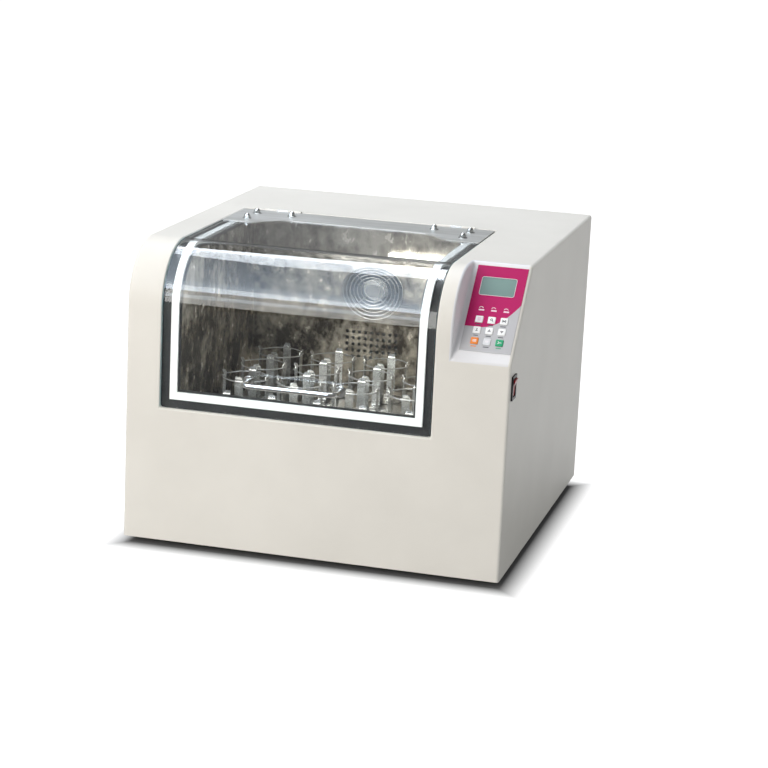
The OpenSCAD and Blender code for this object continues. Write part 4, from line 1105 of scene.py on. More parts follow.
@dataclass
class CabinetShell:
    """Painted sheet shell with its bent front, its window and its recess for the panel.

    Attributes:
        left: Left side.
        right: Right side.
        front: Front face.
        back: Rear edge.
        bottom: Lower edge.
        top: Top face.
        bend: Radius of the bend between front and top.
        step: Wall beside the control panel.
        window: Left, right, lower and rear edge of the window.
        fold: Depth of the fold round the window.
        edge: Rounding of the outer edges.
        sheet: Thickness of the sheet.
        arc: Faces round the bend.
        slope: Plane of the panel.
        key_hole: Half a key's hole.
        lamp_hole: Half the size of a lamp's hole.
        columns: Places of the keys across.
        rows: Places of the keys up the slope.
        lamp_row: Place of the lamps up the slope.
        display: Left, right, lower and upper edge of the display on the slope.
        switch: Middle of the switch, and half the size of its hole.
        roundings: Share of the rounding on the outer edges, on the slope's front and rear, on the
            wall beside it, on the window's edge and in the window's corners.
    """

    left: float = -0.290
    right: float = 0.280
    front: float = -0.285
    back: float = 0.315
    bottom: float = 0.010
    top: float = 0.450
    bend: float = 0.090
    step: float = 0.194
    window: Quad = (-0.238, 0.170, 0.211, 0.093)
    fold: float = 0.0102
    edge: float = 0.0045
    sheet: float = 0.0015
    arc: int = 30
    slope: Slope = field(default_factory=Slope)
    key_hole: float = 0.00575
    lamp_hole: Flat = (0.0041, 0.0013)
    columns: tuple[float, ...] = (0.2205, 0.2385, 0.2565)
    rows: tuple[float, ...] = (0.035, 0.053, 0.071)
    lamp_row: float = 0.087
    display: Quad = (0.2115, 0.2625, 0.11204, 0.14304)
    switch: Quad = (-0.263, 0.293, 0.0108, 0.0154)
    roundings: tuple[float, ...] = (1.0, 0.7, 0.75, 0.5, 1.0)

    def profile(self) -> list[Flat]:
        """Runs along the front and top, from the lower edge to the rear.

        Returns:
            Depth and height of each point.
        """
        _, _, sill, rear = self.window
        rows = [(self.front, self.bottom), (self.front, sill), (self.front, self.slope.foot_z)]
        for i in range(self.arc + 1):
            turn = QUARTER_TURN * i / self.arc
            y = self.front + self.bend * (1 - math.cos(turn))
            rows.append((y, self.top - self.bend + self.bend * math.sin(turn)))
        crest = self.front + self.slope.run
        return rows + [(crest, self.top), (rear, self.top), (self.back, self.top)]

    def inward(self, y: float, z: float) -> Flat:
        """Gives the way into the cabinet from a point of the profile.

        Args:
            y: Depth of the point.
            z: Height of the point.

        Returns:
            A direction in depth and height.
        """
        if z <= self.top - self.bend + SAME:
            return 1.0, 0.0
        if y >= self.front + self.bend - SAME:
            return 0.0, -1.0
        across, up = self.front + self.bend - y, self.top - self.bend - z
        size = math.hypot(across, up)
        return across / size, up / size

    def sheet_faces(self, draft: Draft) -> None:
        """Draws the flat and bent faces as one joined sheet.

        Args:
            draft: The draft.
        """
        w_left, w_right, sill, rear = self.window
        rows = self.profile()
        low, high = rows.index((self.front, sill)), rows.index((rear, self.top))
        grid = [draft.points([(x, y, z) for y, z in rows]) for x in (self.left, w_left, w_right, self.step)]
        for c in range(3):
            for r in range(len(rows) - 1):
                if c != 1 or r < low or r >= high:
                    draft.face([grid[c][r], grid[c + 1][r], grid[c + 1][r + 1], grid[c][r + 1]])
        last = len(rows) - 1
        foot, crest = 2, last - 2
        wall = grid[3]
        edge_rows = [0, 1, foot, crest, last - 1, last]
        far = dict(zip(edge_rows, draft.points([(self.right, *rows[r]) for r in edge_rows])))
        for near, past in zip(edge_rows, edge_rows[1:]):
            draft.face([wall[near], far[near], far[past], wall[past]])
        draft.face([wall[r] for r in range(foot, crest + 1)])
        corner_left, corner_right = draft.points(
            [(x, self.back, self.bottom) for x in (self.left, self.right)]
        )
        draft.face([*grid[0], corner_left])
        draft.face([*far.values(), corner_right])
        inner = {}
        for c in (1, 2):
            for r in range(low, high + 1):
                y, z = rows[r]
                dy, dz = self.inward(y, z)
                inner[c, r] = draft.points([(grid[c][r].co.x, y + dy * self.fold, z + dz * self.fold)])[0]
            for r in range(low, high):
                draft.face([grid[c][r], grid[c][r + 1], inner[c, r + 1], inner[c, r]])
        for r in (low, high):
            draft.face([grid[1][r], grid[2][r], inner[2, r], inner[1, r]])

    def punch(
        self,
        draft: Draft,
        inside: Callable[[Vector], bool],
        cuts: Sequence[tuple[Vector, Vector]],
        hole: Callable[[Vector], bool],
    ) -> None:
        """Cuts holes in one flat face.

        Args:
            draft: The draft.
            inside: Says from a face's middle whether it belongs to the flat face.
            cuts: A point and a direction for each straight cut.
            hole: Says from a face's middle whether it falls out.
        """
        for point, direction in cuts:
            faces = [f for f in draft.mesh.faces if inside(f.calc_center_median())]
            parts = {*faces, *(e for f in faces for e in f.edges), *(v for f in faces for v in f.verts)}
            bmesh.ops.bisect_plane(
                draft.mesh, geom=list(parts), plane_co=point, plane_no=direction, dist=SAME_DRAWN
            )
        middles = [(f, f.calc_center_median()) for f in draft.mesh.faces]
        gone = [f for f, middle in middles if inside(middle) and hole(middle)]
        bmesh.ops.delete(draft.mesh, geom=gone, context="FACES")

    def punch_panel(self, draft: Draft) -> None:
        """Cuts the holes for the keys, the lamps and the display.

        Args:
            draft: The draft.
        """
        onto = self.slope.matrix()
        back = onto.inverted()
        half = self.key_hole
        boxes = [(x - half, x + half, u - half, u + half) for x in self.columns for u in self.rows]
        across, up = self.lamp_hole
        boxes += [(x - across, x + across, self.lamp_row - up, self.lamp_row + up) for x in self.columns]
        boxes.append(self.display)
        right = onto.to_3x3() @ Vector((1, 0, 0))
        along = onto.to_3x3() @ Vector((0, 1, 0))
        cuts = [(onto @ Vector((x, 0, 0)), right) for x in sorted({v for b in boxes for v in b[:2]})]
        cuts += [(onto @ Vector((0, u, 0)), along) for u in sorted({v for b in boxes for v in b[2:]})]

        def inside(middle: Vector) -> bool:
            """Says whether a face lies on the slope."""
            spot = back @ middle
            return abs(spot.z) < SAME_CUT and spot.x > self.step and 0 < spot.y < self.slope.length

        def hole(middle: Vector) -> bool:
            """Says whether a face lies in a hole."""
            spot = back @ middle
            return any(b[0] < spot.x < b[1] and b[2] < spot.y < b[3] for b in boxes)

        self.punch(draft, inside, cuts, hole)

    def punch_side(self, draft: Draft) -> None:
        """Cuts the hole for the power switch.

        Args:
            draft: The draft.
        """
        y, z, half_y, half_z = self.switch
        level = [(Vector((0, 0, z + s * half_z)), Vector((0, 0, 1))) for s in (-1, 1)]
        upright = [(Vector((0, y + s * half_y, 0)), Vector((0, 1, 0))) for s in (-1, 1)]

        def side(m: Vector) -> bool:
            """Says whether a face lies on the right side."""
            return m.x > self.right - SAME_CUT

        def beside(m: Vector) -> bool:
            """Says whether a face lies there at the height of the switch."""
            return side(m) and abs(m.z - z) < half_z

        self.punch(draft, side, level, lambda m: False)
        self.punch(draft, beside, upright, lambda m: abs(m.y - y) < half_y)

    def weigh_edges(self, draft: Draft) -> None:
        """Marks the edges that the press brake leaves round.

        Args:
            draft: The draft.
        """
        w_left, w_right, sill, rear = self.window
        foot, crest = self.slope.foot_z, self.front + self.slope.run

        def at(e: tuple[Vector, Vector], axis: int, *values: float) -> bool:
            """Says whether both ends of an edge are at one of some places along an axis."""
            return any(all(abs(end[axis] - value) < SAME for end in e) for value in values)

        def outer(*e: Vector) -> bool:
            """Picks the left and right outer edges."""
            side = at(e, X, self.left, self.right) and all(map(self.is_profile, e))
            return side and not at(e, Y, self.back) and not at(e, Z, self.bottom)

        def panel(*e: Vector) -> bool:
            """Picks the slope's front and rear edges."""
            edge = (at(e, Z, foot) and at(e, Y, self.front)) or (at(e, Y, crest) and at(e, Z, self.top))
            return edge and min(e[0].x, e[1].x) > self.step - SAME and not at(e, X, e[0].x)

        def wall(*e: Vector) -> bool:
            """Picks the edges of the wall beside the panel."""
            there = at(e, X, self.step) and min(e[0].z, e[1].z) > foot - SAME
            return there and max(e[0].y, e[1].y) < crest + SAME

        def in_window(p: Vector) -> bool:
            """Says whether a point of the outer face is in the window or on its edge."""
            across = w_left - SAME < p.x < w_right + SAME and self.is_profile(p)
            return across and p.z > sill - SAME and p.y < rear + SAME

        def lip(*e: Vector) -> bool:
            """Picks the window's edge on the outer face."""
            end = not at(e, X, e[0].x) and (at(e, Z, sill) or at(e, Y, rear))
            return all(map(in_window, e)) and (at(e, X, w_left, w_right) or end)

        def corner(*e: Vector) -> bool:
            """Picks the window's corners, through the fold."""
            deep = (at(e, Z, sill) and not at(e, Y, e[0].y)) or (at(e, Y, rear) and not at(e, Z, e[0].z))
            return deep and at(e, X, w_left, w_right)

        for share, chosen in zip(self.roundings, (outer, panel, wall, lip, corner)):
            draft.weigh(share, chosen)

    def is_profile(self, p: Vector) -> bool:
        """Says whether a point is on the outline of the cabinet.

        Args:
            p: The point.

        Returns:
            Whether it is.
        """
        steep = self.slope.rise / self.slope.run
        if abs(p.y - self.front) < SAME or abs(p.z - self.top) < SAME:
            return True
        on_slope = abs(self.slope.foot_z + (p.y - self.front) * steep - p.z) < SAME_CUT
        across, up = p.y - self.front - self.bend, p.z - self.top + self.bend
        return on_slope or (across < 0 < up and abs(math.hypot(across, up) - self.bend) < SAME_CUT)

    def build(self) -> None:
        """Builds the shell, rounds it and parts it into its panels."""
        draft = Draft()
        self.sheet_faces(draft)
        self.punch_panel(draft)
        self.punch_side(draft)
        self.weigh_edges(draft)
        raw = draft.bake("shell")
        if raw.polygons[0].normal.y > 0:
            raw.flip_normals()
        rounding = {"limit_method": "WEIGHT", "width": self.edge, "segments": 4}
        rounding["use_clamp_overlap"] = False
        whole = modified(
            raw,
            ("BEVEL", rounding),
            ("SOLIDIFY", {"thickness": self.sheet, "offset": -1.0, "use_even_offset": True}),
            ("WEIGHTED_NORMAL", {"keep_sharp": False}),
        )
        # The sides take their rounded edges with them, and the recess its lower edge.
        inset = self.edge * 1.001
        crest = self.front + self.slope.run + self.edge
        foot = self.slope.foot_z - 0.002

        def in_recess(m: Vector) -> bool:
            """Says whether a face lies in the recess."""
            return self.step - inset < m.x <= self.right - inset and m.y < crest and m.z > foot

        def is_rest(m: Vector) -> bool:
            """Says whether a face belongs to none of the other parts."""
            return not any(chosen(m) for _, chosen, _, _ in parts[:-1])

        parts = (
            ("left_panel_skin", lambda m: m.x < self.left + inset, "left_side_panel", Finishes.SHELL),
            ("right_panel_skin", lambda m: m.x > self.right - inset, "right_side_panel", Finishes.SHELL),
            ("recess_skin", in_recess, "control_fascia", Finishes.RECESS),
            ("front_top_skin", is_rest, "front_top_cover", Finishes.SHELL),
        )
        for name, chosen, node, finish in parts:
            add_piece(name, carried(whole, chosen, name), Body.CABINET, finish, [node])
        bpy.data.meshes.remove(whole)


@dataclass
class CabinetUnderside:
    """Rear panel, pan, feet, screws and vents.

    Attributes:
        screws: Places of the rear screws, across and up.
        rear: Depth of the rear panel's face.
        head: Radius and height of a screw's head.
        vents: Left edge of each vent.
        vent_width: Width of a vent's slots.
        vent_rows: Heights of the slots.
        slot: Height of a slot.
        hood: Depth and height of the hood over a slot.
        hood_sheet: Thickness of its sheet.
        feet_across: Places of the feet across.
        feet_deep: Depths of the feet.
    """

    screws: tuple[Flat, ...] = (
        (-0.276, 0.024), (-0.276, 0.230), (-0.276, 0.436), (0.0, 0.024), (0.0, 0.436),
        (0.266, 0.024), (0.266, 0.230), (0.266, 0.436),
    )
    rear: float = 0.315
    head: Flat = (0.0038, 0.0016)
    vents: tuple[float, ...] = (-0.230, -0.035, 0.150)
    vent_width: float = 0.070
    vent_rows: tuple[float, ...] = tuple(0.260 + 0.010 * i for i in range(10))
    slot: float = 0.0034
    hood: Flat = (0.0021, 0.0024)
    hood_sheet: float = 0.0004
    feet_across: Flat = (-0.245, 0.235)
    feet_deep: Flat = (-0.240, 0.270)

    def screw_heads(self) -> None:
        """Builds domed heads with a drive socket."""
        draft = Draft()
        radius, height = self.head
        socket = radius * 0.42
        profile = [
            (radius * 0.98, -0.0002), (radius, height * 0.25), (radius * 0.93, height * 0.6),
            (radius * 0.72, height * 0.88), (radius * 0.5, height), (socket, height),
            (socket * 0.95, height * 0.45), (socket * 0.2, height * 0.3),
        ]
        for x, z in self.screws:
            at = Matrix.Translation((x, self.rear, z)) @ TO_REAR
            draft.lathe(profile, 20, at)
        add_piece(
            "cabinet_screw_heads", draft, Body.CABINET, Finishes.SCREW, ["cabinet_screws"], 50
        )

    def louvres(self) -> None:
        """Builds a pressed hood over each vent slot."""
        draft = Draft()
        steps, sheet = 5, self.hood_sheet
        deep, tall = self.hood
        for x in self.vents:
            for z in self.vent_rows:
                rings = []
                for side in range(2):
                    ring = []
                    for i in range(steps + 1):
                        turn = QUARTER_TURN * i / steps
                        height = self.slot + tall * math.cos(turn) - tall / 2
                        ring.append((deep * math.sin(turn), height))
                    ring += [(d - sheet if d > sheet else 0.0, h - sheet) for d, h in reversed(ring)]
                    at = x + self.vent_width * side
                    rings.append(draft.points([(at, self.rear + d, z + h) for d, h in ring]))
                draft.skin(rings)
        add_piece("vent_louvres", draft, Body.CABINET, Finishes.REAR, angle=SOFT_ANGLE)

    def feet(self) -> None:
        """Builds ribbed rubber feet."""
        draft = Draft()
        profile = [
            (0.0035, 0.0022), (0.0045, 0.0), (0.0122, 0.0), (0.0131, 0.0008), (0.0137, 0.0030),
            (0.0131, 0.0036), (0.0139, 0.0042), (0.0145, 0.0060), (0.0139, 0.0066), (0.0150, 0.0074),
            (0.0158, 0.0092), (0.0152, 0.0100),
        ]
        for x in self.feet_across:
            for y in self.feet_deep:
                draft.lathe(profile, 40, Matrix.Translation((x, y, 0.0)))
        add_piece("rubber_feet", draft, Body.CABINET, Finishes.FOOT, ["feet"], 40)

    def build(self) -> None:
        """Builds and dresses everything under and behind the cabinet."""
        dress(Finishes.REAR, "rear_panel")
        dress(Finishes.PAN, "base_pan")
        self.screw_heads()
        self.louvres()
        self.feet()


@dataclass
class Window:
    """Bent clear lid with its seal, strip, nuts, hinges and handle.

    Attributes:
        shell: The cabinet's shell, whose bend the lid follows.
        sink: Depth of the lid's face below the shell's.
        sheet: Thickness of the lid.
        left: Left edge of the lid.
        right: Right edge of the lid.
        sill: Lower edge of the lid.
        rear: Rear edge of the lid.
        corner: Radius of the lid's front corners.
        arc: Faces round the bend.
        nuts: Places of the nuts, across and deep.
        nut_base: Height of the strip's upper face.
        chamfer: Width of the lid's broken edges.
        handle_ends: Places of the handle's ends across.
        handle_height: Height of the handle.
        handle_face: Depth of the lid's face at the handle.
        handle_inside: Depth of its screws' heads behind the lid.
        handle_reach: How far the handle stands out.
        handle_bend: Radius of its bends.
        rod: Radius of its rod.
    """

    shell: CabinetShell
    sink: float = 0.001
    sheet: float = 0.0049
    left: float = -0.2365
    right: float = 0.1685
    sill: float = 0.2125
    rear: float = 0.0854
    corner: float = 0.005
    arc: int = 48
    nuts: tuple[Flat, ...] = (
        (-0.2055, 0.0514), (-0.2055, 0.0014), (-0.1485, 0.0514),
        (0.1375, 0.0514), (0.1375, 0.0014), (0.0805, 0.0514),
    )
    nut_base: float = 0.4502
    chamfer: float = 0.0006
    handle_ends: Flat = (-0.103, 0.035)
    handle_height: float = 0.265
    handle_face: float = -0.284
    handle_inside: float = -0.279
    handle_reach: float = 0.030
    handle_bend: float = 0.012
    rod: float = 0.0035

    def rows(self, depth: float) -> list[Flat]:
        """Gives depth and height along the lid at one depth below the shell's face.

        Args:
            depth: The depth.

        Returns:
            The points, from the sill to the rear.
        """
        shell = self.shell
        rows = [(shell.front + depth, self.sill)]
        for i in range(self.arc + 1):
            turn = QUARTER_TURN * i / self.arc
            reach = shell.bend - depth
            y = shell.front + shell.bend - reach * math.cos(turn)
            rows.append((y, shell.top - shell.bend + reach * math.sin(turn)))
        return rows + [(self.rear, shell.top - depth)]

    def lid(self) -> None:
        """Builds the clear sheet."""
        draft = Draft()
        rings = []
        outer, inner = self.rows(self.sink), self.rows(self.sink + self.sheet)
        for (oy, oz), (iy, iz) in zip(outer, inner):
            places = [(self.left, oy, oz), (self.right, oy, oz), (self.right, iy, iz), (self.left, iy, iz)]
            rings.append(draft.points(places))
        draft.skin(rings)

        def corner(p: Vector, q: Vector) -> bool:
            """Picks the front corners, through the sheet."""
            return max(abs(p.x - q.x), abs(p.z - q.z), abs(p.z - self.sill)) < SAME_DRAWN

        draft.weigh(1.0, corner)
        corners = {"limit_method": "WEIGHT", "width": self.corner, "segments": 6}
        edges = {"limit_method": "ANGLE", "width": self.chamfer, "segments": 2}
        corners["use_clamp_overlap"] = edges["use_clamp_overlap"] = False
        edges["angle_limit"] = math.radians(50)
        shape = modified(draft.bake("lid"), ("BEVEL", corners), ("BEVEL", edges))
        smooth(shape, 30)
        even_normals(add_piece("lid_sheet", shape, Body.LID, Finishes.CLEAR, ["lid_window"]))

    def nut_row(self) -> None:
        """Builds domed cap nuts on their washers."""
        draft = Draft()
        washer = [(0.0068, 0.0), (0.0070, 0.0003), (0.0070, 0.0008), (0.0067, 0.0010), (0.0050, 0.0010)]
        hexagon = [(0.0050, 0.0010), (0.0052, 0.0014), (0.0052, 0.0043), (0.0046, 0.0049)]
        head_below = [(0.0053, -0.0087), (0.0055, -0.0083), (0.0055, -0.0065), (0.0053, -0.0062)]
        dome = [(0.0047, 0.0030)]
        for i in range(7):
            turn = QUARTER_TURN * i / 6.4
            dome.append((0.0043 * math.cos(turn), 0.0041 + 0.0042 * math.sin(turn)))
        for number, (x, y) in enumerate(self.nuts):
            at = Matrix.Translation((x, y, self.nut_base)) @ Matrix.Rotation(0.5 + 0.7 * number, 4, "Z")
            draft.lathe(washer, 32, at)
            draft.lathe(hexagon, 6, at)
            draft.lathe(dome, 24, at)
            draft.lathe(head_below, 28, at)
        add_piece("cap_nuts", draft, Body.LID, Finishes.SCREW, ["lid_fasteners"], 32)
        inside = Draft()
        head = [(0.0053, 0.0), (0.0055, 0.0003), (0.0055, 0.0020), (0.0049, 0.0025)]
        for x in self.handle_ends:
            place = (x, self.handle_inside, self.handle_height)
            inside.lathe(head, 28, Matrix.Translation(place) @ TO_REAR)
        add_piece("handle_screws", inside, Body.LID, Finishes.SCREW, angle=32)

    def handle(self) -> None:
        """Builds the bent rod handle with its washers."""
        draft = Draft()
        left, right = self.handle_ends
        face, reach, bend = self.handle_face, self.handle_reach, self.handle_bend
        legs = (0.0, 0.006, 0.012)
        line = [(left, face - t) for t in legs]
        for i in range(11):
            turn = QUARTER_TURN * i / 10
            line.append((left + bend * (1 - math.cos(turn)), face - reach + bend * (1 - math.sin(turn))))
        count = 14
        for i in range(1, count):
            line.append((left + bend + (right - left - 2 * bend) * i / count, face - reach))
        for i in range(11):
            turn = QUARTER_TURN * (1 - i / 10)
            line.append((right - bend * (1 - math.cos(turn)), face - reach + bend * (1 - math.sin(turn))))
        line += [(right, face - t) for t in reversed(legs)]
        draft.tube([(x, y, self.handle_height) for x, y in line], self.rod, 24, False)
        washer = [(0.0080, 0.0), (0.0080, 0.0010), (0.0076, 0.0015), (0.0040, 0.0016), (0.0036, 0.0026)]
        for x in self.handle_ends:
            draft.lathe(washer, 36, Matrix.Translation((x, face, self.handle_height)) @ TO_FRONT)
        add_piece("rod_handle", draft, Body.LID, Finishes.HANDLE, ["lid_handle"], 40)

    def build(self) -> None:
        """Builds and dresses the lid."""
        self.lid()
        dress(Finishes.SEAL, "lid_seal")
        dress(Finishes.STRIP, "hinge_strip")
        dress(Finishes.SHELL, "hinge_leaves")
        dress(Finishes.HINGE, "hinge_pins")
        dress(Finishes.BAND, "window_frame")
        self.nut_row()
        self.handle()


class Mark(Enum):
    """Plain signs on the keys, as strokes in a square from -1 to 1."""

    GRID = (
        ((-0.7, 0.55), (0.7, 0.55)), ((-0.7, 0.0), (0.7, 0.0)), ((-0.7, -0.55), (0.7, -0.55)),
        ((-0.25, -0.8), (-0.25, 0.8)), ((0.35, -0.8), (0.35, 0.8)),
    )
    LENS = (
        ((-0.5, 0.1), (-0.25, 0.55)), ((-0.25, 0.55), (0.2, 0.55)), ((0.2, 0.55), (0.45, 0.1)),
        ((0.45, 0.1), (0.2, -0.3)), ((0.2, -0.3), (-0.25, -0.3)), ((-0.25, -0.3), (-0.5, 0.1)),
        ((0.3, -0.25), (0.75, -0.75)),
    )
    CROSS = (((-0.7, -0.55), (0.7, 0.55)), ((-0.7, 0.55), (0.7, -0.55)), ((-0.8, 0.0), (0.8, 0.0)))
    DOT = (((-0.18, 0.3), (0.18, 0.3)), ((0.0, -0.5), (0.0, 0.55)), ((-0.4, -0.55), (0.4, -0.55)))
    UP = (((-0.5, -0.35), (0.0, 0.45)), ((0.0, 0.45), (0.5, -0.35)), ((-0.5, -0.35), (0.5, -0.35)))
    DOWN = (((-0.5, 0.35), (0.0, -0.45)), ((0.0, -0.45), (0.5, 0.35)), ((-0.5, 0.35), (0.5, 0.35)))
    BARS = (((-0.65, 0.45), (0.65, 0.45)), ((-0.65, 0.0), (0.65, 0.0)), ((-0.65, -0.45), (0.65, -0.45)))
    DASH = (((-0.6, 0.25), (0.6, 0.25)), ((-0.6, -0.25), (0.6, -0.25)))
    PLAY = (((-0.6, 0.5), (0.0, 0.0)), ((0.0, 0.0), (-0.6, -0.5)), ((0.1, 0.0), (0.75, 0.0)))


@dataclass(frozen=True)
class KeyDesign:
    """One key.

    Attributes:
        colour: Which plastic it is moulded in.
        mark: The sign on it.
        ink: Ink of the sign.
    """

    colour: str
    mark: Mark
    ink: Finish = Finishes.INK

    @property
    def slot(self) -> str:
        """Gives the record's material slot."""
        return "key_" + self.colour


@dataclass
class ControlPanel:
    """Printed overlay with keys, lamps and display, and the board behind it.

    Attributes:
        shell: The cabinet's shell.
        side: Side of a key.
        film: Thickness of the overlay.
        proud: Height of a key's top above the slope.
        key_corner: Radius of a key's corners.
        key_levels: Height of each ring of a key, and its share of the key's size.
        key_top: The same for its upper rings, measured from the key's top.
        sign_share: Share of a key that its sign fills.
        stroke: Width of a sign's strokes.
        sign: Height of a sign's foot and face above the key's top.
        printed: Height of a print's foot and face above the overlay's face.
        captions_wide: Width of the caption below each key.
        caption_tall: Height of a caption.
        caption_gap: Distance from a key's edge to the middle of its caption.
        lamp_arc: Half the width and height of the arc above a lamp, outside and inside.
        lamp_arc_at: Place of the arc's middle from the lamp's, across and up the slope.
        rim_corner: Radius of the display rim's corners.
        rim_wire: Radius of the rim.
        designs: The nine keys, along the rows from the upper left.
    """

    shell: CabinetShell
    side: float = 0.011
    film: float = 0.0008
    proud: float = 0.0017
    key_corner: float = 0.0014
    key_levels: tuple[Flat, ...] = ((-0.0034, 1.0), (0.0011, 1.0), (0.00145, 0.985), (0.0016, 0.955))
    key_top: tuple[Flat, ...] = ((0.0, 0.88), (-0.0001, 0.4))
    sign_share: float = 0.62
    stroke: float = 0.00084
    sign: Flat = (-0.00015, 0.00003)
    printed: Flat = (-0.0001, 0.00004)
    captions_wide: tuple[float, ...] = (
        0.0078, 0.0072, 0.0080, 0.0066, 0.0074, 0.0074, 0.0078, 0.0082, 0.0076,
    )
    caption_tall: float = 0.0014
    caption_gap: float = 0.0034
    lamp_arc: tuple[Flat, Flat] = ((0.0034, 0.0030), (0.0026, 0.0022))
    lamp_arc_at: Flat = (-0.0008, 0.0026)
    rim_corner: float = 0.0029
    rim_wire: float = 0.00035
    designs: tuple[KeyDesign, ...] = (
        KeyDesign("white", Mark.GRID, Finishes.INDICATOR),
        KeyDesign("white", Mark.LENS),
        KeyDesign("white", Mark.CROSS),
        KeyDesign("white", Mark.DOT),
        KeyDesign("white", Mark.UP),
        KeyDesign("white", Mark.DOWN),
        KeyDesign("orange", Mark.BARS, Finishes.WHITE_INK),
        KeyDesign("grey", Mark.DASH, Finishes.WHITE_INK),
        KeyDesign("green", Mark.PLAY, Finishes.WHITE_INK),
    )

    def spot(self, number: int) -> Flat:
        """Gives the middle of a key, across and up the slope."""
        return self.shell.columns[number % 3], self.shell.rows[2 - number // 3]

    def key_cap(self, number: int) -> None:
        """Builds one key with its soft edges and its sign.

        Args:
            number: The key, from 0.
        """
        design = self.designs[number]
        x, up = self.spot(number)
        at = self.shell.slope.matrix(x, up)
        half = self.side / 2
        outline = rounded(half, half, self.key_corner, 5)
        draft = Draft()
        levels = [*self.key_levels, *((self.proud + lift, share) for lift, share in self.key_top)]
        rings = [draft.points([(px * share, py * share, z) for px, py in outline], at) for z, share in levels]
        draft.skin(rings)
        body = f"key_{number + 1}"
        plastic = Finishes.KEYS[design.colour]
        add_piece(f"key_cap_{number + 1}", draft, body, plastic, [body], 50)
        signs = Draft()
        reach, half_stroke = half * self.sign_share, self.stroke / 2
        for start, end in design.mark.value:
            a, b = Vector(start) * reach, Vector(end) * reach
            side = (b - a).normalized().orthogonal() * half_stroke
            ends = (b - a).normalized() * half_stroke
            corners = [a - ends - side, b + ends - side, b + ends + side, a - ends + side]
            outline = [(c.x, c.y) for c in corners]
            signs.prism(outline, self.proud + self.sign[0], self.proud + self.sign[1], at)
        add_piece(f"key_sign_{number + 1}", signs, body, design.ink)

    def captions(self) -> None:
        """Builds the plain bar printed below each key, dark or in the key's colour."""
        inks = {"dark": (Finishes.INK, "black_plastic")}
        inks.update({colour: (Finishes.KEYS[colour], "key_" + colour) for colour in ("orange", "green")})
        for ink, (finish, slot) in inks.items():
            draft = Draft()
            for number, width in enumerate(self.captions_wide):
                colour = self.designs[number].colour
                if (colour if colour in inks else "dark") != ink:
                    continue
                x, up = self.spot(number)
                at = self.shell.slope.matrix(x, up - self.side / 2 - self.caption_gap)
                half, tall = width / 2, self.caption_tall / 2
                outline = [(-half, -tall), (half, -tall), (half, tall), (-half, tall)]
                draft.prism(outline, self.film + self.printed[0], self.film + self.printed[1], at)
            add_piece("key_captions_" + ink, draft, Body.CABINET, finish)

    def arcs(self) -> None:
        """Builds the small arc printed above each indicator lamp."""
        draft = Draft()
        across, up = self.lamp_arc_at
        (outer_x, outer_y), (inner_x, inner_y) = self.lamp_arc
        low, high = self.film + self.printed[0], self.film + self.printed[1]
        for x in self.shell.columns:
            at = self.shell.slope.matrix(x + across, self.shell.lamp_row + up)
            rings = []
            for i in range(13):
                turn = math.radians(15 + 150 * i / 12)
                ox, oy = outer_x * math.cos(turn), outer_y * math.sin(turn)
                ix, iy = inner_x * math.cos(turn), inner_y * math.sin(turn)
                corners = [(ox, oy, low), (ox, oy, high), (ix, iy, high), (ix, iy, low)]
                rings.append(draft.points(corners, at))
            draft.skin(rings)
        add_piece("indicator_arcs", draft, Body.CABINET, Finishes.WHITE_INK)

    def display_rim(self) -> None:
        """Builds the thin raised rim round the display."""
        x0, x1, u0, u1 = self.shell.display
        at = self.shell.slope.matrix((x0 + x1) / 2, (u0 + u1) / 2)
        lap = 0.0001
        outline = rounded((x1 - x0) / 2 - lap, (u1 - u0) / 2 - lap, self.rim_corner, 6)
        draft = Draft()
        draft.tube([(x, y, self.film) for x, y in outline], self.rim_wire, 8, True, at)
        add_piece("display_rim", draft, Body.CABINET, Finishes.WHITE_INK, angle=SOFT_ANGLE)

    def build(self) -> None:
        """Builds and dresses the panel."""
        dress(Finishes.PRINT, "panel_overlay")
        dress(Finishes.DISPLAY, "display_window")
        dress(Finishes.INDICATOR, "indicator_lamps")
        dress(Finishes.BOARD, "control_board")
        for number in range(len(self.designs)):
            self.key_cap(number)
        self.captions()
        self.arcs()
        self.display_rim()


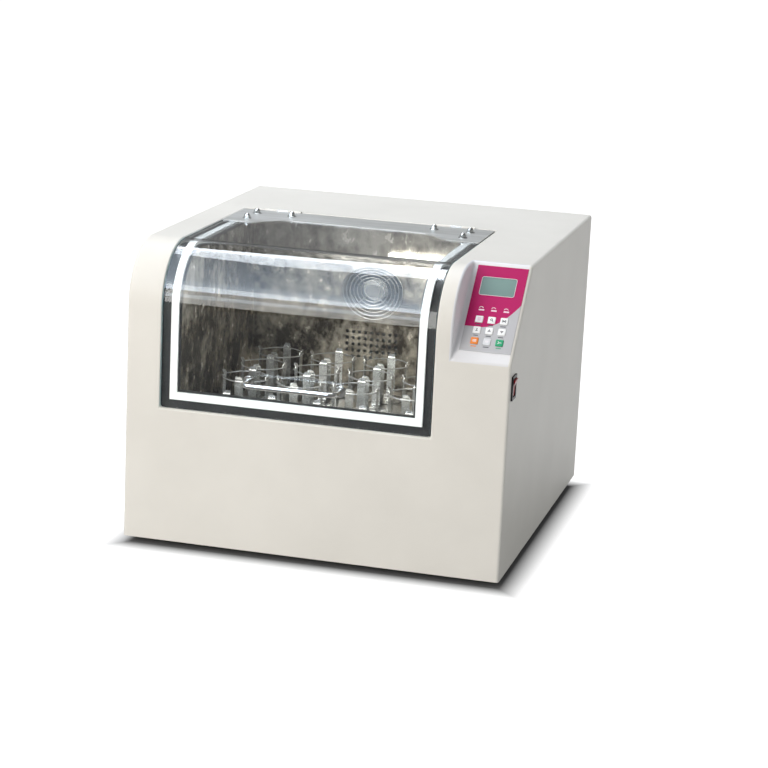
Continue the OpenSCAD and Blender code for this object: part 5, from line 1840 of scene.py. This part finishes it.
@dataclass
class Chamber:
    """Polished chamber with its air system, lamp and probe.

    Attributes:
        fan: Place of the fan's face on its axis.
        blades: Number of blades.
        hub: Radius of the hub.
        reach: Radius of the blades.
        depth: Length of the fan along its axis.
        root: Share of the hub's radius at which a blade starts.
        gap: How far a blade ends before the fan's reach.
        blade_turn: Half the turn that a blade spans at its root, how much less that is at its
            tip, and its twist from ring to ring, in degrees.
        blade_rise: Place of a blade's front edge on the axis, and its rise to the rear edge.
        blade_thin: Half its thickness at the edges, and what the middle adds.
    """

    fan: Point = (-0.027, 0.1202, 0.335)
    blades: int = 7
    hub: float = 0.019
    reach: float = 0.042
    depth: float = 0.018
    root: float = 0.9
    gap: float = 0.0008
    blade_turn: Point = (20.0, 4.0, 4.0)
    blade_rise: Flat = (0.0030, 0.0120)
    blade_thin: Flat = (0.0002, 0.0007)

    def impeller(self) -> None:
        """Builds the hub and its twisted blades."""
        draft = Draft()
        at = Matrix.Translation(self.fan) @ TO_REAR
        hub = [(0.0040, 0.0006), (0.0130, 0.0), (0.0172, 0.0006), (self.hub - 0.0003, 0.0024)]
        hub += [(self.hub, 0.0060), (self.hub, self.depth)]
        draft.lathe(hub, 48, at)
        root, tip = self.hub * self.root, self.reach - self.gap
        thin, middle = self.blade_thin
        span, narrower, turned = self.blade_turn
        low, rise = self.blade_rise
        steps, wide = 6, 5
        for blade in range(self.blades):
            base = FULL_TURN * blade / self.blades
            rings = []
            for i in range(steps + 1):
                radius = root + (tip - root) * i / steps
                half = math.radians(span - narrower * i / steps)
                twist = math.radians(turned * i)
                front, back = [], []
                for j in range(wide + 1):
                    share = j / wide
                    turn = base + twist + (share * 2 - 1) * half
                    height = low + share * rise
                    thick = middle * math.sin(math.pi * (0.1 + 0.8 * share)) + thin
                    x, y = radius * math.cos(turn), radius * math.sin(turn)
                    front.append((x, y, height - thick))
                    back.append((x, y, height + thick))
                rings.append(draft.points(front + back[::-1], at))
            draft.skin(rings)
        add_piece("fan_wheel", draft, Body.FAN, Finishes.FAN, ["fan_impeller"], 40)

    def build(self) -> None:
        """Builds and dresses the chamber."""
        dress(Finishes.LINER, "chamber_liner", "air_outlet")
        dress(Finishes.FOAM, "insulation")
        dress(Finishes.GUARD, "fan_guard")
        dress(Finishes.DUCT, "air_duct")
        dress(Finishes.MOTOR, "fan_motor", "drive_motor")
        dress(Finishes.HEATER, "heater")
        dress(Finishes.PROBE, "temperature_probe")
        dress(Finishes.LAMP, "chamber_lamp")
        self.impeller()


@dataclass(frozen=True)
class ClampSize:
    """Size of a flask clamp.

    Attributes:
        radius: Radius at the ring.
        height: Height of the ring above the platform.
    """

    radius: float
    height: float


@dataclass
class Platform:
    """Orbiting platform with its spring clamps.

    Attributes:
        top: Height of the platform.
        middle: Middle of the platform across.
        front: Depth of the platform's front edge.
        small: Size of a small clamp.
        large: Size of a large clamp.
        small_row: Distance of the small clamps behind the platform's front edge.
        small_pitch: Distance between them.
        large_row: Distance of the first row of large clamps behind that edge.
        large_pitch: Distance between large clamps, across and from row to row.
        finger: Width and thickness of a finger.
        finger_foot: Distance of a finger's foot above the platform.
        finger_bend: Radius of its bend.
        chamfer: Width of its broken edges.
        wire: Radius of the spring wire.
        wire_drop: Distance of the wire below the clamp's height.
    """

    top: float = 0.177
    middle: float = -0.024
    front: float = -0.2545
    small: ClampSize = ClampSize(0.025, 0.044)
    large: ClampSize = ClampSize(0.034, 0.062)
    small_row: float = 0.034
    small_pitch: float = 0.070
    large_row: float = 0.114
    large_pitch: Flat = (0.086, 0.088)
    finger: Flat = (0.013, 0.0012)
    finger_foot: float = 0.002
    finger_bend: float = 0.0035
    chamfer: float = 0.0003
    wire: float = 0.001
    wire_drop: float = 0.004

    def clamps(self) -> list[tuple[float, float, ClampSize]]:
        """Places the clamps, small ones in front and large ones behind.

        Returns:
            Place across, depth and size of each clamp.
        """
        row = self.front + self.small_row
        places = [(self.middle + (i - 2) * self.small_pitch, row, self.small) for i in range(5)]
        across, deep = self.large_pitch
        for j in range(3):
            row = self.front + self.large_row + j * deep
            places += [(self.middle + (i - 1.5) * across, row, self.large) for i in range(4)]
        return places

    def finger_line(self, size: ClampSize) -> list[Flat]:
        """Gives the middle of a finger's sheet, from its foot to its curled tip.

        Args:
            size: Size of the clamp.

        Returns:
            Points as radius and height.
        """
        r, h, bend = size.radius, size.height, self.finger_bend
        foot = self.finger_foot + self.finger[1] / 2
        line = [(r - 0.013, foot), (r - bend, foot)]
        for i in range(1, 6):
            turn = QUARTER_TURN * i / 5
            line.append((r - bend + bend * math.sin(turn), foot + bend - bend * math.cos(turn)))
        line += [
            (r + 0.0002, 0.014), (r - 0.0002, h * 0.5), (r - 0.0006, h - 0.006), (r - 0.0010, h - 0.0035)
        ]
        line += [(r - 0.0012, h - 0.0015), (r - 0.0006, h), (r + 0.0004, h + 0.0014)]
        return line + [(r + 0.0016, h + 0.0028), (r + 0.0024, h + 0.0037)]

    def fingers(self) -> None:
        """Builds the bent fingers of every clamp."""
        draft = Draft()
        width, thick = self.finger
        chamfer = self.chamfer
        for x, y, size in self.clamps():
            line = self.finger_line(size)
            tops = len(line)
            for quarter in range(4):
                at = Matrix.Translation((x, y, self.top)) @ Matrix.Rotation(QUARTER_TURN * quarter, 4, "Z")
                rings = []
                for i, (r, h) in enumerate(line):
                    before, after = line[max(i - 1, 0)], line[min(i + 1, tops - 1)]
                    along = Vector((after[0] - before[0], after[1] - before[1])).normalized()
                    out = Vector((-along.y, along.x)) * (thick / 2)
                    half = width / 2 * (1.0 if i < tops - 5 else 1.0 - 0.07 * (i - tops + 6))
                    section = [
                        (-half + chamfer, 1.0), (half - chamfer, 1.0), (half, 0.4), (half, -0.4),
                        (half - chamfer, -1.0), (-half + chamfer, -1.0), (-half, -0.4), (-half, 0.4),
                    ]
                    rings.append(draft.points([(r + out.x * s, w, h + out.y * s) for w, s in section], at))
                draft.skin(rings)
        add_piece(
            "clamp_fingers_bent", draft, Body.PLATFORM, Finishes.CLAMP, ["clamp_fingers"], 38
        )

    def springs(self) -> None:
        """Builds the spring wires, flat across each finger."""
        draft = Draft()
        for x, y, size in self.clamps():
            face = size.radius + self.wire + 0.0002
            limit = math.atan2(self.finger[0] / 2, face)
            corner = math.hypot(face, self.finger[0] / 2)
            path = []
            for i in range(96):
                turn = FULL_TURN * i / 96
                off = (turn + EIGHTH_TURN) % QUARTER_TURN - EIGHTH_TURN
                if abs(off) < limit:
                    radius = face / math.cos(off)
                else:
                    share = (abs(off) - limit) / (EIGHTH_TURN - limit)
                    radius = corner * (1 - 0.045 * math.sin(share * QUARTER_TURN) ** 1.2)
                path.append((radius * math.cos(turn), radius * math.sin(turn), 0.0))
            at = Matrix.Translation((x, y, self.top + size.height - self.wire_drop))
            draft.tube(path, self.wire, 8, True, at)
        add_piece("clamp_springs", draft, Body.PLATFORM, Finishes.SPRING, ["clamp_rings"], 60)

    def bases(self) -> None:
        """Builds the round base of each clamp, with its screw and the fingers' rivets."""
        draft = Draft()
        head = [(0.0050, 0.0018), (0.0050, 0.0026), (0.0043, 0.0034), (0.0026, 0.0035)]
        head += [(0.0022, 0.0023), (0.0004, 0.0021)]
        shank = [(0.0030, -0.0068), (0.0030, 0.0010)]
        rivet = [(0.0019, -0.0002), (0.0018, 0.0005), (0.0012, 0.0009), (0.0004, 0.0010)]
        for x, y, size in self.clamps():
            at = Matrix.Translation((x, y, self.top))
            edge = size.radius - 0.004
            plate = [(edge - 0.0006, 0.0), (edge, 0.0005), (edge, 0.0014), (edge - 0.0007, 0.0020)]
            draft.lathe([*plate, (0.0052, 0.0020)], 48, at)
            draft.lathe(head, 24, at)
            draft.lathe(shank, 16, at)
            reach = size.radius - 0.0085
            for quarter in range(4):
                turn = QUARTER_TURN * quarter
                across, deep = reach * math.cos(turn), reach * math.sin(turn)
                draft.lathe(rivet, 14, Matrix.Translation((x + across, y + deep, self.top + 0.0032)))
        add_piece(
            "clamp_base_plates", draft, Body.PLATFORM, Finishes.CLAMP, ["clamp_bases"], 42
        )

    def build(self) -> None:
        """Builds and dresses the platform."""
        soft_copy("platform_tray", 0.0007, Body.PLATFORM, Finishes.TRAY, 3)
        dress(Finishes.CROSSBAR, "platform_frame")
        dress(Finishes.BEARING, "platform_bearings")
        self.bases()
        self.fingers()
        self.springs()


class DriveTrain:
    """Motor, belt, pulleys and cranks under the chamber."""

    def build(self) -> None:
        """Dresses the drive."""
        dress(Finishes.IRON, "drive_frame", "counterweight", "motor_bracket")
        dress(Finishes.SHAFT, "drive_shaft", "idler_crank_front", "idler_crank_left", "idler_crank_right")
        dress(Finishes.PULLEY, "drive_pulley", "motor_pulley")
        dress(Finishes.BELT, "drive_belt")


@dataclass
class MainsSide:
    """Power supply, mains inlet and rocker switch.

    Attributes:
        inlet: Middle of the inlet on the rear panel.
        blades: Places of the blades about it.
        blade: Half the thickness and half the width of a blade.
        blade_ends: Where a blade starts and ends, out of the rear panel.
    """

    inlet: Point = (0.200, 0.315, 0.065)
    blades: tuple[Flat, ...] = ((-0.007, -0.002), (0.0, 0.002), (0.007, -0.002))
    blade: Flat = (0.0011, 0.0026)
    blade_ends: Flat = (-0.0132, 0.0012)

    def blade_sleeves(self) -> None:
        """Builds the metal blades in the inlet."""
        draft = Draft()
        x0, y0, z0 = self.inlet
        thick, wide = self.blade
        outline = [(-thick, -wide), (thick, -wide), (thick, wide), (-thick, wide)]
        for x, z in self.blades:
            at = Matrix.Translation((x0 + x, y0, z0 + z)) @ TO_REAR
            draft.prism(outline, *self.blade_ends, at)
        draft.soften(0.0003, 2)
        add_piece("inlet_blades", draft, Body.CABINET, Finishes.BRASS, angle=SOFT_ANGLE)

    def build(self) -> None:
        """Builds and dresses the electric parts."""
        soft_copy("mains_inlet", 0.0005, Body.CABINET, Finishes.BLACK)
        soft_copy("switch_bezel", 0.0006, Body.CABINET, Finishes.BLACK, 3)
        soft_copy("power_rocker", 0.0005, Body.ROCKER, Finishes.ROCKER, 3)
        dress(Finishes.DUCT, "power_supply")
        self.blade_sleeves()


@dataclass(frozen=True)
class Lamp:
    """One large soft lamp that looks at the shaker.

    Attributes:
        name: Name of the lamp.
        place: Where it hangs.
        size: Its width and height.
        energy: Its power.
        colour: Its colour.
        mirrored: Whether shiny faces show it.
    """

    name: str
    place: Point
    size: Flat
    energy: float
    colour: Point
    mirrored: bool = False

    def hang(self) -> None:
        """Hangs the lamp."""
        light = bpy.data.lights.new(self.name, "AREA")
        light.shape = "RECTANGLE"
        light.size, light.size_y = self.size
        light.energy = self.energy
        light.color = self.colour
        lamp = bpy.data.objects.new(self.name, light)
        aim = (Vector((0.0, 0.0, 0.25)) - Vector(self.place)).to_track_quat("-Z", "Y")
        lamp.matrix_world = Matrix.Translation(self.place) @ aim.to_matrix().to_4x4()
        lamp.visible_glossy = self.mirrored
        bpy.context.scene.collection.objects.link(lamp)


@dataclass
class Studio:
    """Pale floor, soft lamps and the camera.

    Attributes:
        eye: Place of the camera.
        yaw: Turn of the camera about Z.
        pitch: Tilt of the camera.
        roll: Turn of the camera about its own axis.
        focal: Focal length, in pixels of the picture.
        picture: Width of the picture, in pixels.
        sensor: Width of the camera's sensor, in millimetres.
        sky: Strength of the even light.
        sky_colour: Its colour.
        lamps: Main lamp, lamp overhead and low lamp on the right.
        reach: Distance from the middle of the floor to its edges.
        stand: Distance from there to where the floor turns white.
        fade: Width over which it does.
        axis: Depth and height of the line about which the gleam strips bend.
        arcs: Start and end of each strip about it, in degrees, and its number of faces.
        ends: Left and right end of the strips.
    """

    eye: Point = (0.8837, -3.3649, 1.0645)
    yaw: float = -0.24963
    pitch: float = -0.24107
    roll: float = 0.04736
    focal: float = 2310.503
    picture: float = 768.0
    sensor: float = 36.0
    sky: float = 0.31
    sky_colour: Quad = (0.985, 0.99, 1.0, 1.0)
    lamps: tuple[Lamp, ...] = (
        Lamp("key_lamp", (-1.3, -2.9, 1.2), (2.4, 1.8), 85.0, (1.0, 0.975, 0.935)),
        Lamp("top_lamp", (-0.60, 0.95, 3.05), (1.6, 1.3), 69.0, (0.88, 0.93, 1.0), True),
        Lamp("side_lamp", (2.6, -0.5, 0.15), (1.6, 0.28), 11.0, (0.97, 1.0, 1.0)),
    )
    reach: float = 14.0
    stand: float = 0.28
    fade: float = 0.038
    axis: Flat = (-0.195, 0.360)
    arcs: tuple[tuple[int, int, int], ...] = ((68, 156, 22), (163, 169, 2))
    ends: Flat = (-1.7, -0.06)

    def camera(self) -> None:
        """Sets the camera where the photograph was taken from."""
        level = math.cos(self.pitch)
        look = Vector((math.sin(self.yaw) * level, math.cos(self.yaw) * level, math.sin(self.pitch)))
        right = look.cross(Vector((0, 0, 1))).normalized()
        up = right.cross(look)
        c, s = math.cos(self.roll), math.sin(self.roll)
        right, up = c * right + s * up, -s * right + c * up
        turn = Matrix((right, up, -look)).transposed().to_4x4()
        lens = bpy.data.cameras.new("studio_camera")
        lens.sensor_width = self.sensor
        lens.lens = self.focal * self.sensor / self.picture
        lens.clip_end = 60.0
        camera = bpy.data.objects.new("studio_camera", lens)
        camera.matrix_world = Matrix.Translation(self.eye) @ turn
        bpy.context.scene.collection.objects.link(camera)
        bpy.context.scene.camera = camera

    def floor(self) -> None:
        """Lays a wide pale floor that keeps the contact shadow."""
        draft = Draft()
        corners = ((-1, -1, 0), (1, -1, 0), (1, 1, 0), (-1, 1, 0))
        draft.face(draft.points([Vector(corner) * self.reach for corner in corners]))
        shader = Shader("floor_paper")
        paper = shader.noise(3.0, 2.0, 0.5)
        shader.set(Base_Color=shader.mix(paper, (0.20, 0.20, 0.20, 1), (0.19, 0.19, 0.19, 1)), Roughness=0.9)
        shader.set(Specular_IOR_Level=0.1, Emission_Color=(1, 1, 1, 1))
        x, y, _ = shader.axes(shader.place())
        beside = shader.math("SUBTRACT", shader.math("ABSOLUTE", x), self.stand)
        beside = shader.math("MAXIMUM", beside, 0.0)
        before = shader.math("SUBTRACT", shader.math("ABSOLUTE", y), self.stand)
        before = shader.math("MAXIMUM", before, 0.0)
        white = shader.span(shader.math("MAXIMUM", beside, before), 0.0, self.fade, 0.0, 1.0)
        path = shader.add("ShaderNodeLightPath").outputs
        bent = shader.math("MAXIMUM", path["Is Glossy Ray"], path["Is Transmission Ray"])
        bent = shader.math("MULTIPLY", bent, shader.span(y, 0.0, 0.6, 0.0, 1.0))
        seen = shader.math("MAXIMUM", path["Is Camera Ray"], bent)
        shader.set(Emission_Strength=shader.math("MULTIPLY", seen, white))
        mesh = draft.bake("floor")
        mesh.materials.append(shader.material)
        floor = bpy.data.objects.new("floor", mesh)
        bpy.context.scene.collection.objects.link(floor)

    def world(self) -> None:
        """Sets a sky that is white to the camera, even on matt faces and dark to shiny ones."""
        world = bpy.data.worlds.new("studio")
        world.use_nodes = True
        bpy.context.scene.world = world
        sky = Nodes(world.node_tree)
        path = sky.add("ShaderNodeLightPath").outputs
        _, y, z = sky.axes(sky.add("ShaderNodeTexCoord").outputs["Generated"])
        ahead = sky.span(y, -0.5, 0.5, 0.20, 0.19)
        horizon = sky.span(y, -0.1, 0.3, 0.15, 1.0)
        low = sky.span(z, 0.03, 0.10, horizon, ahead)
        bent = sky.math("MAXIMUM", path["Is Glossy Ray"], path["Is Transmission Ray"])
        shiny = sky.span(bent, 0.0, 1.0, self.sky, low)
        strength = sky.span(path["Is Camera Ray"], 0.0, 1.0, shiny, 1.0)
        light = sky.add("ShaderNodeBackground")
        sky.put(light.inputs["Color"], self.sky_colour)
        sky.put(light.inputs["Strength"], strength)
        sky.join(light.outputs[0], sky.add("ShaderNodeOutputWorld").inputs[0])

    def gleam(self) -> None:
        """Hangs the bright strips that show only as gleams on the lid's bend."""
        draft = Draft()
        for start, end, steps in self.arcs:
            rows = []
            for i in range(steps + 1):
                turn = math.radians(start + (end - start) * i / steps)
                y, z = self.axis[0] + math.cos(turn), self.axis[1] + math.sin(turn)
                rows.append(draft.points([(x, y, z) for x in self.ends]))
            for near, far in zip(rows, rows[1:]):
                draft.face([near[0], near[1], far[1], far[0]])
        mesh = draft.bake("gleam")
        shader = Shader("gleam_strip")
        _, y, z = shader.axes(shader.place())
        front = shader.span(y, -1.11, -0.90, 6.0, 0.0)
        band = shader.math("ADD", front, shader.span(y, -0.9, -0.3, 2.2, 0.0))
        band = shader.math("ADD", band, shader.span(y, -0.3, 0.18, 3.8, 1.2))
        low = shader.span(z, 0.66, 0.68, 4.5, 0.0)
        high = shader.span(z, 0.66, 0.68, 0.0, 1.0)
        shader.set(Base_Color=(0, 0, 0, 1), Emission_Color=(0.74, 0.86, 1.0, 1.0))
        shader.set(Emission_Strength=shader.math("ADD", shader.math("MULTIPLY", band, high), low))
        mesh.materials.append(shader.material)
        strip = bpy.data.objects.new("gleam", mesh)
        bpy.context.scene.collection.objects.link(strip)
        for ray in ("camera", "diffuse", "transmission", "shadow", "volume_scatter"):
            setattr(strip, f"visible_{ray}", False)

    def build(self) -> None:
        """Sets up the studio."""
        self.camera()
        self.floor()
        self.world()
        for lamp in self.lamps:
            lamp.hang()
        self.gleam()
        bpy.context.scene.view_settings.view_transform = "Standard"


def main() -> None:
    """Builds every part in order."""
    logging.basicConfig(level=logging.INFO, format="%(name)s: %(message)s")
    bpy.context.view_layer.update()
    shell = CabinetShell()
    outside = (shell, CabinetUnderside(), Window(shell), ControlPanel(shell))
    inside = (Chamber(), Platform(), DriveTrain(), MainsSide())
    for part in (*outside, *inside, Studio()):
        part.build()
    bpy.context.view_layer.update()


if __name__ == "__main__":
    main()
